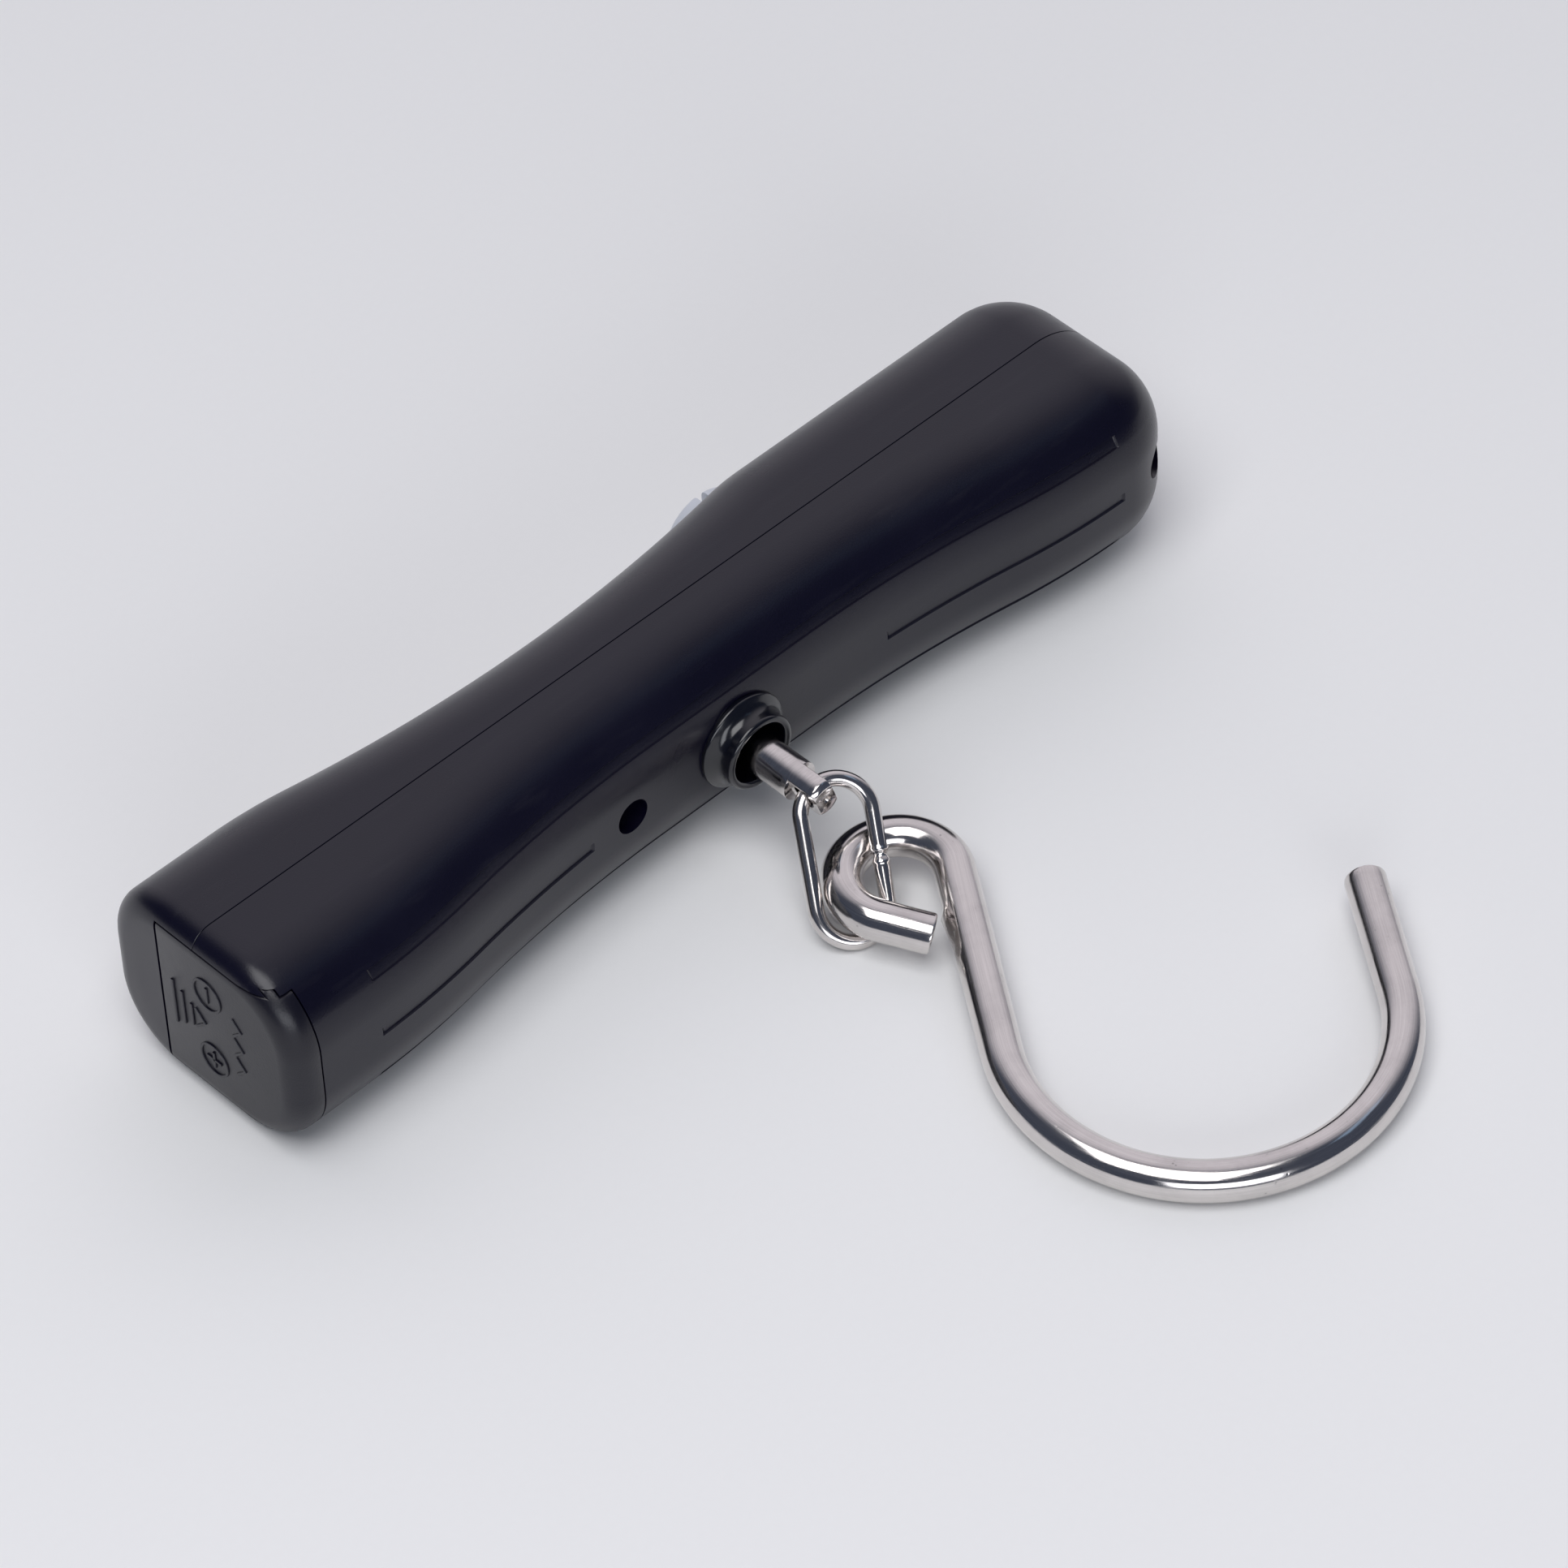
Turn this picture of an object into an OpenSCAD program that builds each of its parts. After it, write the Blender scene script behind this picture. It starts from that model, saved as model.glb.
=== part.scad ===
// Digital fish scale: a T handle with the read-out at one end, two AAA cells at the
// other, and a round-wire hook that hangs from a pull rod in the middle.
// Frame: +X along the handle from the battery end to the display end, +Y towards the
// side with the display, +Z up. The scale lies on its flat side on Z = 0 and the pull
// rod's axis crosses X = 0. The cells and the load cell lie about the plane Y = 0.

/* [Handle] */
// X of the battery end
battery_x = -72.5; // [-80:0.5:-70]
// X of the far end
far_x = 71; // [70:0.5:76]
// Thickness, from the side it lies on to the side that faces up
thick = 26.4; // [26.4:0.2:30]
// Radius of the long edges and of the far end's corners
edge_r = 10; // [9:0.5:11]
// Radius of the edge round the battery end
end_edge_r = 3; // [2.5:0.25:3.5]
// Wall of the two half shells
wall = 2; // [1.8:0.1:2.2]
// Y of the plane where the two half shells meet
split_y = 2; // [1.5:0.5:2.5]
// Open seam between the half shells
seam = 0.12; // [0.1:0.02:0.2]

/* [Outline of the display side, measured from the split plane] */
// Height at the battery end
display_batt_h = 15.4; // [15:0.1:16]
// Height of the waist
display_waist_h = 11.7; // [11.5:0.1:12]
// Height of the display housing
display_far_h = 14.9; // [14.6:0.1:15.2]
// X of the waist's lowest point
waist_x = -14; // [-16:0.5:-12]
// Radius of the hollow of the waist
waist_r = 200; // [190:5:210]

/* [Outline of the hook side, measured from the split plane] */
// Height of the flat around the collar
grip_low_h = 12.3; // [12:0.1:12.6]
// Height at both ends
grip_high_h = 16.4; // [16:0.1:16.8]
// Half length of the flat around the collar
grip_flat = 11.8; // [11.8:0.1:11.8]
// Radius of the finger hollow beside the flat
grip_low_r = 190; // [180:5:195]
// Width of the long grip grooves
groove_w = 1.8; // [1.2:0.1:2]
// Width of the middle grip grooves
mid_groove_w = 1.5; // [1:0.1:1.8]
// Depth of the grip grooves
groove_depth = 0.4; // [0.2:0.1:0.6]
// Where the grooves end, either way from the rod
groove_end = 59.5; // [55:0.5:60]
// Where the middle grooves start, either way from the rod
mid_groove_start = 23.5; // [21:0.5:30]

/* [Battery door] */
// Height of the door across the end face
door_h = 22; // [21.6:0.2:22]
// Edge of the door on the display side
door_edge_y = 8.1; // [7.5:0.1:8.5]
// Thickness of the door
door_t = 2.2; // [2:0.1:2.2]
// How far the door wraps onto the hook side
door_wrap = 3.9; // [3.5:0.1:5]
// Gap around the door
door_gap = 0.2; // [0.15:0.05:0.25]
// Depth of the moulded marks
mark_depth = 0.25; // [0.1:0.05:0.4]

/* [Cells] */
// Diameter of an AAA cell
cell_d = 10.5; // [10.5:0.1:10.5]
// Length of an AAA cell over its button
cell_len = 44.5; // [44:0.5:44.5]
// Distance between the axes of the two cells
cell_pitch = 10.7; // [10.6:0.1:10.8]

/* [Pull rod] */
// Diameter of the rod
rod_d = 5; // [5:0.1:5]
// Y of the rod's tip
rod_tip_y = -24.5; // [-26:0.5:-24]
// Thickness of the tongue milled at the tip
tongue_t = 2.7; // [2.5:0.1:2.8]
// Length of the tongue
tongue_len = 4.4; // [4.2:0.1:4.6]
// Y of the hole through the tongue
tongue_hole_y = -21.9; // [-22:0.1:-21.8]
// Diameter of the hole through the tongue
tongue_hole_d = 3; // [2.9:0.1:3]
// Turn of the tongue about the rod, at rest
tongue_turn = 17.5; // [15:0.5:20]
// Radius of the collar's bore
collar_bore_r = 4.1; // [4:0.05:4.2]

/* [Link] */
// Diameter of the link's wire
link_wire_d = 1.8; // [1.7:0.1:1.8]
// Radius of the link's round ends, at the middle of the wire
link_r = 4.3; // [4.3:0.1:4.6]
// Length of the link's straight sides
link_side = 10.4; // [10:0.2:10.8]
// Angle of the link's sides from square to the tongue's hole
link_lean = 36.2; // [34:0.2:38]
// Angle that the link droops below the rod
link_droop = 38.4; // [37:0.2:40]

/* [Hook] */
// Diameter of the hook's wire
hook_wire_d = 5; // [4.8:0.1:5]
// Radius of the eye, at the middle of the wire
eye_r = 6.6; // [6.5:0.1:6.8]
// Length of the shank between the eye and the bend
shank_len = 27.6; // [26:0.2:30]
// Radius of the bend, at the middle of the wire
bend_r = 22.9; // [21:0.1:24]
// Length of the straight leg at the tip
tip_leg = 17.2; // [16:0.2:20]
// Turn of the eye's round part
eye_turn = 240; // [235:1:240]
// Length of the straight end that closes the eye
eye_tail = 6.4; // [6:0.1:6.8]
// Centre of the eye, at rest
eye_centre = [2.4, -33.6, 4.9]; // [-40:0.1:10]
// Turn of the hook on the floor, at rest
hook_turn = -34; // [-36:0.2:-33]

/* [Keys and display] */
// X of the middle of the pair of keys
keys_x = 20.6; // [20:0.1:21]
// Radius of the disc that the two keys make
keys_r = 6.5; // [6:0.1:6.5]
// Y of the top of the keys
keys_top_y = 18.2; // [17.8:0.1:18.4]
// First and last X of the display window
window_x = [30, 59]; // [28:0.5:61]
// Height of the display window
window_h = 12.4; // [11:0.2:12.6]
// Y of the flat that is cut for the display window
facet_y = 15.9; // [15.8:0.1:16]

/* [Hidden] */
$fn = 96;

mid_z = thick / 2;
band = 18;           // depth of the swept band, enough to reach the split plane
fine_fn = 720;       // facets of the long shallow curves in a preview

// Sides of the handle: x of the low point, half the flat there, height there, height at
// the battery end, height at the far end, radius of the hollow
display_line = [waist_x, 0, display_waist_h, display_batt_h, display_far_h, waist_r];
grip_line = [0, grip_flat, grip_low_h, grip_high_h, grip_high_h, grip_low_r];

collar_y = split_y - grip_low_h;
collar_out = 3.55;
collar_base_r = 6.8;
collar_lip_r = 4.95;

door_z = [mid_z - door_h / 2, mid_z + door_h / 2];
door_lip_y = split_y - grip_high_h + edge_r;

cell_z = [mid_z + cell_pitch / 2, mid_z - cell_pitch / 2];
cell_x = -69.2;
bulkhead_x = -22.8;

beam = [[-6, 34], [-4.5, 2.5], [mid_z - 6, mid_z + 6]];
beam_screw_x = [24.5, 30.5];
nut_y = 3.6;

board_x = [12, 63];
board_z = [5.4, 21];
board_y = 10.2;
board_t = 1.2;
board_screw = [61, 7.2];

screw_x = [-17.2, 66.8];
screw_head_y = -4.5;
screw_recess_r = 2.3;

tail_seat = 0.4;     // how far the straight end of the eye starts inside the round part
tail_slack = 0.02;   // and how much thinner its wire is there, so that it stays inside

// ---- Shape of the handle ----

// A rise between two levels is 12 times as long as it is high: two tangent arcs whose
// radii add up to 72.5 times the height, and which meet at this angle
rise_ratio = 12;
radius_sum = (rise_ratio * rise_ratio + 1) / 2;
meet_angle = atan2(rise_ratio, radius_sum - 1);

// Both half shells are drawn with the seam on Y = 0 and their outside towards +Y
module display_half() {
  translate([0, split_y, 0]) children();
}
module hook_half() {
  translate([0, split_y, 0]) mirror([0, 1, 0]) children();
}

// Section of the handle beside a side face: x is the depth below the face, y is Z
module side_section(inset) {
  r = edge_r - inset;
  translate([edge_r, inset]) square([band - edge_r, thick - 2 * inset]);
  translate([inset, edge_r]) square([r, thick - 2 * edge_r]);
  for (z = [edge_r, thick - edge_r]) translate([edge_r, z]) intersection() {
    circle(r = r);
    translate([-r, z > mid_z ? 0 : -r]) square(r);
  }
}

// Sweeps a section along a straight stretch of a side
module straight_run(x0, x1, y) {
  translate([x0, y, 0]) rotate([90, 0, 90]) linear_extrude(x1 - x0) mirror([1, 0]) children();
}

// Sweeps a section from a low level at the origin up to a level h higher, towards +X
module rise_run(h, low_r) {
  high_r = radius_sum * h - low_r;
  intersection() {
    translate([0, low_r, 0]) rotate([0, 0, 270])
      rotate_extrude(angle = 20, $fn = fine_fn) translate([low_r, 0]) children();
    translate([0, low_r, 0]) rotate([0, 0, meet_angle])
      translate([-100, -300, -1]) cube([100, 300, thick + 2]);
  }
  intersection() {
    translate([rise_ratio * h, h - high_r, 0]) rotate([0, 0, 90])
      rotate_extrude(angle = 20, $fn = fine_fn) translate([high_r, 0]) mirror([1, 0]) children();
    translate([0, low_r, 0]) rotate([0, 0, meet_angle])
      translate([0, -300, -1]) cube([100, 300, thick + 2]);
  }
}

// Sweeps a section along a whole side, from x_start to the far corner
module side_run(line, x_start) {
  batt_h = line[3] - line[2];
  far_h = line[4] - line[2];
  left = line[0] - line[1];
  right = line[0] + line[1];
  straight_run(x_start, left - rise_ratio * batt_h, line[3]) children();
  translate([left, line[2], 0]) mirror([1, 0, 0]) rise_run(batt_h, line[5]) children();
  if (line[1] > 0) straight_run(left, right, line[2]) children();
  translate([right, line[2], 0]) rise_run(far_h, line[5]) children();
  far_flat = far_x - edge_r - right - rise_ratio * far_h;
  if (far_flat > 0.1) straight_run(far_x - edge_r - far_flat, far_x - edge_r, line[4]) children();
}

// Far end: a rounded corner, and a flat end face below it
module far_end(line, inset) {
  translate([far_x - edge_r, line[4] - edge_r, 0]) rotate_extrude(angle = 90)
    translate([edge_r, 0]) mirror([1, 0]) far_section(inset);
  translate([far_x, line[4] - edge_r, 0]) rotate([90, 0, 0])
    linear_extrude(line[4] - edge_r + 1) mirror([1, 0]) far_section(inset);
}
module far_section(inset) {
  intersection() {
    side_section(inset);
    square([edge_r, thick]);
  }
}

// Edge of the battery end: x is the distance from the corner's axis, y the depth
module end_edge_section() {
  square([edge_r - end_edge_r, end_edge_r]);
  translate([edge_r - end_edge_r, end_edge_r]) intersection() {
    circle(r = end_edge_r);
    translate([0, -end_edge_r]) square(end_edge_r);
  }
}

// Battery end: the slice of the handle whose outer edge is rounded
module battery_cap(h) {
  flat = h - edge_r;
  translate([battery_x, 0, 0]) rotate([90, 0, 90]) {
    for (top = [0, 1]) translate([flat, top ? thick - edge_r : edge_r, 0])
      rotate([0, 0, top ? 0 : -90]) rotate_extrude(angle = 90) end_edge_section();
    translate([flat, thick - edge_r, 0]) rotate([90, 0, 0])
      linear_extrude(thick - 2 * edge_r) end_edge_section();
    for (top = [0, 1]) translate([-1, top ? thick - edge_r : edge_r, 0]) mirror([0, top ? 0 : 1, 0])
      rotate([90, 0, 90]) linear_extrude(flat + 1) end_edge_section();
    translate([-1, edge_r, 0]) cube([flat + 1, thick - 2 * edge_r, end_edge_r]);
  }
}

// One solid half of the handle, above the seam
module solid_half(line) {
  intersection() {
    union() {
      battery_cap(line[3]);
      side_run(line, battery_x + end_edge_r) side_section(0);
      far_end(line, 0);
    }
    translate([battery_x - 1, seam / 2, -1]) cube([far_x - battery_x + 2, 40, thick + 2]);
  }
}

// The hollow inside one half
module hollow_half(line) {
  intersection() {
    union() {
      side_run(line, battery_x + door_t) side_section(wall);
      far_end(line, wall);
    }
    translate([battery_x - 1, -0.5, -1]) cube([far_x - battery_x + 2, 40, thick + 2]);
  }
}

// A round post or hole along Y, from y0 to y1
module post(x, z, r, y0, y1) {
  translate([x, y0, z]) rotate([-90, 0, 0]) cylinder(r = r, h = y1 - y0);
}

// Opening that the battery door closes, with its gap and its guide grooves
module door_opening() {
  z0 = door_z[0] - door_gap;
  h = door_h + 2 * door_gap;
  translate([battery_x - 1, -30, z0]) cube([door_t + door_gap + 1, 30 + door_edge_y + 0.35, h]);
  translate([battery_x - 1, -30, z0]) cube([door_wrap + door_gap + 1, 30 + door_lip_y, h]);
  for (z = [door_z[0] - 1, door_z[1] - 0.1])
    translate([battery_x + 1.1, -30, z]) cube([1.3, 30 + 7.4, 1.1]);
}

module display_shell() {
  color("#26252c") difference() {
    union() {
      difference() {
        display_half() solid_half(display_line);
        display_half() hollow_half(display_line);
      }
      post(screw_x[0], mid_z, 3, split_y + seam / 2, 12.4);
      intersection() {
        post(screw_x[1], mid_z, 3, split_y + seam / 2, 14);
        display_half() solid_half(display_line);
      }
      for (z = [board_screw[1], thick - board_screw[1]])
        post(board_screw[0], z, 1.9, board_y + board_t, facet_y - 0.6);
    }
    door_opening();
    for (x = screw_x) post(x, mid_z, 1.3, split_y - 1, 10.5);
    for (z = [board_screw[1], thick - board_screw[1]])
      post(board_screw[0], z, 0.9, board_y, board_y + board_t + 2.6);
    translate([window_x[0] - 2, facet_y, 0]) cube([window_x[1] - window_x[0] + 4, 5, thick]);
    translate([window_x[0], 10, mid_z - window_h / 2])
      cube([window_x[1] - window_x[0], 8, window_h]);
    difference() {
      post(keys_x, mid_z, keys_r + 0.15, 11, 20);
      translate([keys_x - 0.45, 13.2, mid_z - 8]) cube([0.9, 3.3, 16]);
    }
  }
}

// A groove cut along the hook side: tilt is where it lies on the rounded edge, 0 is the face
module grip_groove(w, tilt, x0, x1) {
  z = tilt == 0 ? mid_z : (tilt > 0 ? thick - edge_r : edge_r) + edge_r * sin(tilt);
  hook_half() intersection() {
    side_run(grip_line, battery_x + end_edge_r) translate([edge_r * (1 - cos(tilt)), z])
      rotate(-tilt) translate([-1, -w / 2]) square([1 + groove_depth, w]);
    translate([x0, 0, 0]) cube([x1 - x0, 40, thick]);
  }
}

module hook_shell() {
  color("#26252c") difference() {
    union() {
      difference() {
        hook_half() solid_half(grip_line);
        hook_half() hollow_half(grip_line);
      }
      intersection() {
        union() {
          for (x = screw_x) post(x, mid_z, 3.7, -20, split_y - seam / 2);
          for (x = beam_screw_x) post(x, mid_z, 2.8, -20, beam[1][0] - 1.5);
        }
        hook_half() solid_half(grip_line);
      }
    }
    door_opening();
    for (x = screw_x) {
      post(x, mid_z, screw_recess_r, -20, screw_head_y);
      post(x, mid_z, 1.45, -20, split_y);
    }
    for (x = beam_screw_x) post(x, mid_z, 1.5, -9, 0);
    post(0, mid_z, collar_base_r, -20, 0);
    for (tilt = [-30, 30]) grip_groove(groove_w, tilt, -groove_end, groove_end);
    grip_groove(mid_groove_w, 0, -groove_end, -mid_groove_start);
    grip_groove(mid_groove_w, 0, mid_groove_start, groove_end);
  }
}

// Turned bush that guards the mouth of the rod: y is the distance out from the shell
module collar_ring() {
  color("#17171d") translate([0, collar_y, mid_z]) rotate([90, 0, 0]) {
    rotate_extrude() {
      translate([collar_bore_r, -2.9]) square([collar_base_r - collar_bore_r, 3.3]);
      translate([collar_bore_r, 0]) square([5.7 - collar_bore_r, 1.7]);
      translate([5.4, 0.95]) circle(r = 0.95);
      translate([collar_bore_r, 1]) square([collar_lip_r - collar_bore_r, 2.1]);
      translate([4.5, 3.1]) circle(r = 0.45);
      translate([4.1, 2.2]) square([0.4, collar_out - 2.2]);
    }
    for (side = [-1, 1]) translate([side * 7 - 1, -2.8, -2.9]) cube([2, 5.6, 0.8]);
  }
}

// ---- Battery door and what it holds ----

// Moulded ring, plus and minus marks, bars and arrow heads, on the door's outer face
module mark_bar(y, z, len_y, len_z, turn) {
  translate([battery_x, y, z]) rotate([turn, 0, 0])
    translate([-1, -len_y / 2, -len_z / 2]) cube([1 + mark_depth, len_y, len_z]);
}
module mark_head(y, z, size) {
  for (side = [-1, 1]) mark_bar(y + size * 0.35, z + side * size * 0.35, size, 0.4, side * 45);
}
module door_marks() {
  for (z = cell_z) translate([battery_x - 1, 0, z]) rotate([0, 90, 0]) difference() {
    cylinder(r = 2.4, h = 1 + mark_depth);
    translate([0, 0, -1]) cylinder(r = 2.05, h = 3 + mark_depth);
  }
  for (z = cell_z) mark_bar(0, z, 0.45, 2.4, 0);
  mark_bar(0, cell_z[1], 2.4, 0.45, 0);
  for (i = [0:2]) mark_bar(6.1 - 1.5 * i, mid_z, 0.45, 7 - 1.8 * i, 0);
  mark_head(1.2, mid_z, 2.2);
  for (i = [-1:1]) mark_head(-5.2, mid_z + 3.2 * i, 2.2);
}

module battery_door() {
  color("#2b2a31") difference() {
    union() {
      intersection() {
        union() {
          display_half() battery_cap(display_batt_h);
          hook_half() battery_cap(grip_high_h);
          hook_half() straight_run(battery_x + end_edge_r, battery_x + 12, grip_high_h)
            side_section(0);
        }
        union() {
          translate([battery_x, -20, door_z[0]]) cube([door_t, 20 + door_edge_y, door_h]);
          translate([battery_x, -20, door_z[0]]) cube([door_wrap, 20 + door_lip_y, door_h]);
        }
      }
      for (z = [door_z[0] - 0.7, door_z[1] - 0.2])
        translate([battery_x + 1.3, -8, z]) cube([door_t - 1.3, 15, 0.9]);
    }
    hook_half() straight_run(battery_x + door_t, battery_x + 12, grip_high_h)
      side_section(door_t);
    door_marks();
  }
}

// Sheet contact on the door that joins the two cells
module door_contact() {
  x = battery_x + door_t;
  color("#d8d4c8") {
    translate([x, -3.5, cell_z[1] - 3.5]) cube([0.3, 7, cell_pitch + 7]);
    translate([x + 0.3, 0, cell_z[1]]) rotate([0, 90, 0]) cylinder(r = 2, h = 0.45);
    for (i = [0:1]) translate([x + 0.3 + 0.3 * i, 0, cell_z[0]]) rotate([0, 90, 0])
      difference() {
        cylinder(r = 3.2 - 0.7 * i, h = 0.3);
        translate([0, 0, -1]) cylinder(r = 2.4 - 0.7 * i, h = 3);
      }
  }
}

module cell(z, button_in) {
  body = cell_len - 0.9;
  translate([cell_x + (button_in ? 0 : cell_len), 0, z]) rotate([0, button_in ? 90 : -90, 0]) {
    cylinder(r = cell_d / 2, h = body);
    cylinder(r = 1.9, h = cell_len);
  }
}
module battery_upper() {
  color("#b98a3e") cell(cell_z[0], true);
}
module battery_lower() {
  color("#b98a3e") cell(cell_z[1], false);
}

// Wall that closes the cell chamber and carries the two inner contacts
module battery_bulkhead() {
  y = [-7.9, 10.8];
  z = [2.2, thick - 2.2];
  r = 7;
  color("#33323a") translate([bulkhead_x, 0, 0]) rotate([90, 0, 90]) linear_extrude(1.4) union() {
    translate([y[0] + r, z[0]]) square([y[1] - y[0] - 2 * r, z[1] - z[0]]);
    translate([y[0], z[0] + r]) square([y[1] - y[0], z[1] - z[0] - 2 * r]);
    for (yc = [y[0] + r, y[1] - r], zc = [z[0] + r, z[1] - r]) translate([yc, zc]) circle(r = r);
  }
}

module positive_contact() {
  color("#d8d4c8") translate([bulkhead_x - 0.4, 0, cell_z[0]]) {
    translate([0, -3.4, -3.4]) cube([0.4, 6.8, 6.8]);
    rotate([0, -90, 0]) cylinder(r = 2.2, h = 1.2);
  }
}

// Spring that presses on the flat end of the lower cell: a plate with stepped coils
module negative_spring() {
  color("#d8d4c8") translate([bulkhead_x, 0, cell_z[1]]) rotate([0, -90, 0]) {
    translate([-3.4, -3.4, 0]) cube([6.8, 6.8, 0.4]);
    for (i = [0:3]) translate([0, 0, 0.5 + 0.32 * i]) rotate_extrude()
      translate([2.9 - 0.3 * i, 0]) circle(r = 0.26);
  }
}

// ---- Weighing mechanism ----

module load_cell() {
  size = [for (i = [0:2]) beam[i][1] - beam[i][0]];
  color("#c3c6ca") difference() {
    translate([beam[0][0], beam[1][0], beam[2][0]]) cube(size);
    post(0, mid_z, rod_d / 2 + 0.06, beam[1][0] - 1, beam[1][1] + 1);
    for (x = beam_screw_x) post(x, mid_z, 1.7, beam[1][0] - 1, beam[1][1] + 1);
    for (x = [10.5, 16.5]) translate([x, -1, beam[2][0] - 1]) cylinder(r = 2.6, h = size[2] + 2);
    translate([10.5, -1.8, beam[2][0] - 1]) cube([6, 1.6, size[2] + 2]);
  }
}

module strain_gauges() {
  color("#c77f2b") for (y = [beam[1][0] - 0.15, beam[1][1]])
    translate([10.5, y, mid_z - 2.5]) cube([6, 0.15, 5]);
}

module anchor_plate() {
  color("#9fa2a6") difference() {
    translate([beam_screw_x[0] - 4, beam[1][0] - 1.5, mid_z - 5.5])
      cube([beam_screw_x[1] - beam_screw_x[0] + 8, 1.5, 11]);
    for (x = beam_screw_x) post(x, mid_z, 1.7, beam[1][0] - 3, beam[1][1]);
  }
}

// Pan-head screw along Y: its head sits on y and its shank points to -Y or +Y
module pan_screw(x, y, z, head_r, head_h, shank_r, shank_len, dir) {
  translate([x, y, z]) rotate([dir > 0 ? -90 : 90, 0, 0]) difference() {
    union() {
      translate([0, 0, -head_h]) cylinder(r = head_r, h = head_h);
      cylinder(r = shank_r, h = shank_len);
    }
    for (turn = [0, 90]) rotate([0, 0, turn])
      translate([-head_r * 0.6, -0.3, -head_h - 1]) cube([head_r * 1.2, 0.6, 1 + head_h * 0.55]);
  }
}

module load_cell_screws() {
  color("#8f9296") for (x = beam_screw_x) pan_screw(x, beam[1][1], mid_z, 2.8, 1.8, 1.5, 11, -1);
}

module thrust_washer() {
  color("#b9b0a0") difference() {
    post(0, mid_z, 4.8, beam[1][1], beam[1][1] + 1);
    post(0, mid_z, rod_d / 2 + 0.06, beam[1][1] - 1, beam[1][1] + 2);
  }
}

module pull_rod() {
  chamfer = 0.6;
  neck = rod_tip_y + tongue_len;
  color("#c9c6c2") translate([0, 0, mid_z]) rotate([0, -tongue_turn, 0]) difference() {
    union() {
      translate([0, rod_tip_y + chamfer, 0]) rotate([-90, 0, 0])
        cylinder(r = rod_d / 2, h = 8.4 - rod_tip_y - chamfer);
      translate([0, rod_tip_y, 0]) rotate([-90, 0, 0])
        cylinder(r1 = rod_d / 2 - chamfer, r2 = rod_d / 2, h = chamfer);
    }
    for (side = [-1, 1]) translate([side > 0 ? tongue_t / 2 : -5 - tongue_t / 2, rod_tip_y - 1, -5])
      cube([5, neck - rod_tip_y + 1, 10]);
    translate([-5, tongue_hole_y, 0]) rotate([0, 90, 0]) cylinder(r = tongue_hole_d / 2, h = 10);
    translate([0, rod_tip_y - 0.1, 0]) rotate([-90, 0, 0]) cylinder(r1 = 0.5, r2 = 0.05, h = 0.5);
  }
}

module rod_nut() {
  color("#c9c6c2") difference() {
    translate([0, nut_y, mid_z]) rotate([-90, 0, 0]) cylinder(r = 8 / sqrt(3), h = 4, $fn = 6);
    post(0, mid_z, rod_d / 2, nut_y - 1, nut_y + 5);
  }
}

module rod_clip() {
  color("#8f9296") difference() {
    post(0, mid_z, 4.2, beam[1][0] - 0.9, beam[1][0] - 0.2);
    post(0, mid_z, rod_d / 2, beam[1][0] - 2, beam[1][0] + 1);
  }
}

// ---- Link and hook, bent from round wire ----

// A bent stretch of wire about the origin, and a straight one along +Y from a point
module wire_arc(r, wire_d, from, turn) {
  rotate([0, 0, from]) rotate_extrude(angle = turn) translate([r, 0]) circle(r = wire_d / 2);
}
module wire_line(at, wire_d, len) {
  translate([at[0], at[1], 0]) rotate([-90, 0, 0]) cylinder(r = wire_d / 2, h = len);
}

// The wire passes through the middle of the tongue's hole, square to the tongue
module link() {
  color("#c9c6c2") translate([0, tongue_hole_y, mid_z]) rotate([0, -tongue_turn, 0])
    rotate([link_droop, 0, 0]) translate([0, -link_r, 0]) rotate([0, 0, -link_lean]) {
      wire_arc(link_r, link_wire_d, 0, 180);
      translate([0, -link_side, 0]) wire_arc(link_r, link_wire_d, 180, 180);
      for (side = [-1, 1]) wire_line([side * link_r, -link_side], link_wire_d, link_side);
    }
}

// The eye's middle is the origin, the shank runs to -Y and the tip is at +X
module hook() {
  low = -shank_len;
  tilt = asin((eye_centre[2] - hook_wire_d / 2) / (shank_len + bend_r));
  color("#c9c6c2") translate(eye_centre) rotate([tilt, 0, hook_turn]) {
    wire_arc(eye_r, hook_wire_d, 0, eye_turn);
    rotate([0, 0, eye_turn]) wire_line([eye_r, -tail_seat], hook_wire_d - 2 * tail_slack, eye_tail + tail_seat);
    wire_line([eye_r, low], hook_wire_d, shank_len);
    translate([eye_r + bend_r, low, 0]) wire_arc(bend_r, hook_wire_d, 180, 180);
    wire_line([eye_r + 2 * bend_r, low], hook_wire_d, tip_leg);
  }
}

// ---- Read-out ----

module circuit_board() {
  color("#1f5a3a") difference() {
    translate([board_x[0], board_y, board_z[0]])
      cube([board_x[1] - board_x[0], board_t, board_z[1] - board_z[0]]);
    for (z = [board_screw[1], thick - board_screw[1]])
      post(board_screw[0], z, 1.1, board_y - 1, board_y + board_t + 1);
  }
}

module controller_chip() {
  color("#121214") {
    post(42, mid_z, 4.5, board_y - 0.9, board_y);
    for (x = [31, 52]) translate([x, board_y - 1.3, mid_z - 2]) cube([3, 1.3, 4]);
  }
}

module lcd_panel() {
  color("#8fa38c") translate([window_x[0] + 1.5, board_y + board_t + 1, mid_z - 6])
    cube([26, 1.8, 12]);
}

module lcd_connector() {
  color("#6a6a70") translate([window_x[0] + 2.5, board_y + board_t, mid_z - 6]) cube([24, 1, 2]);
}

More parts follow.
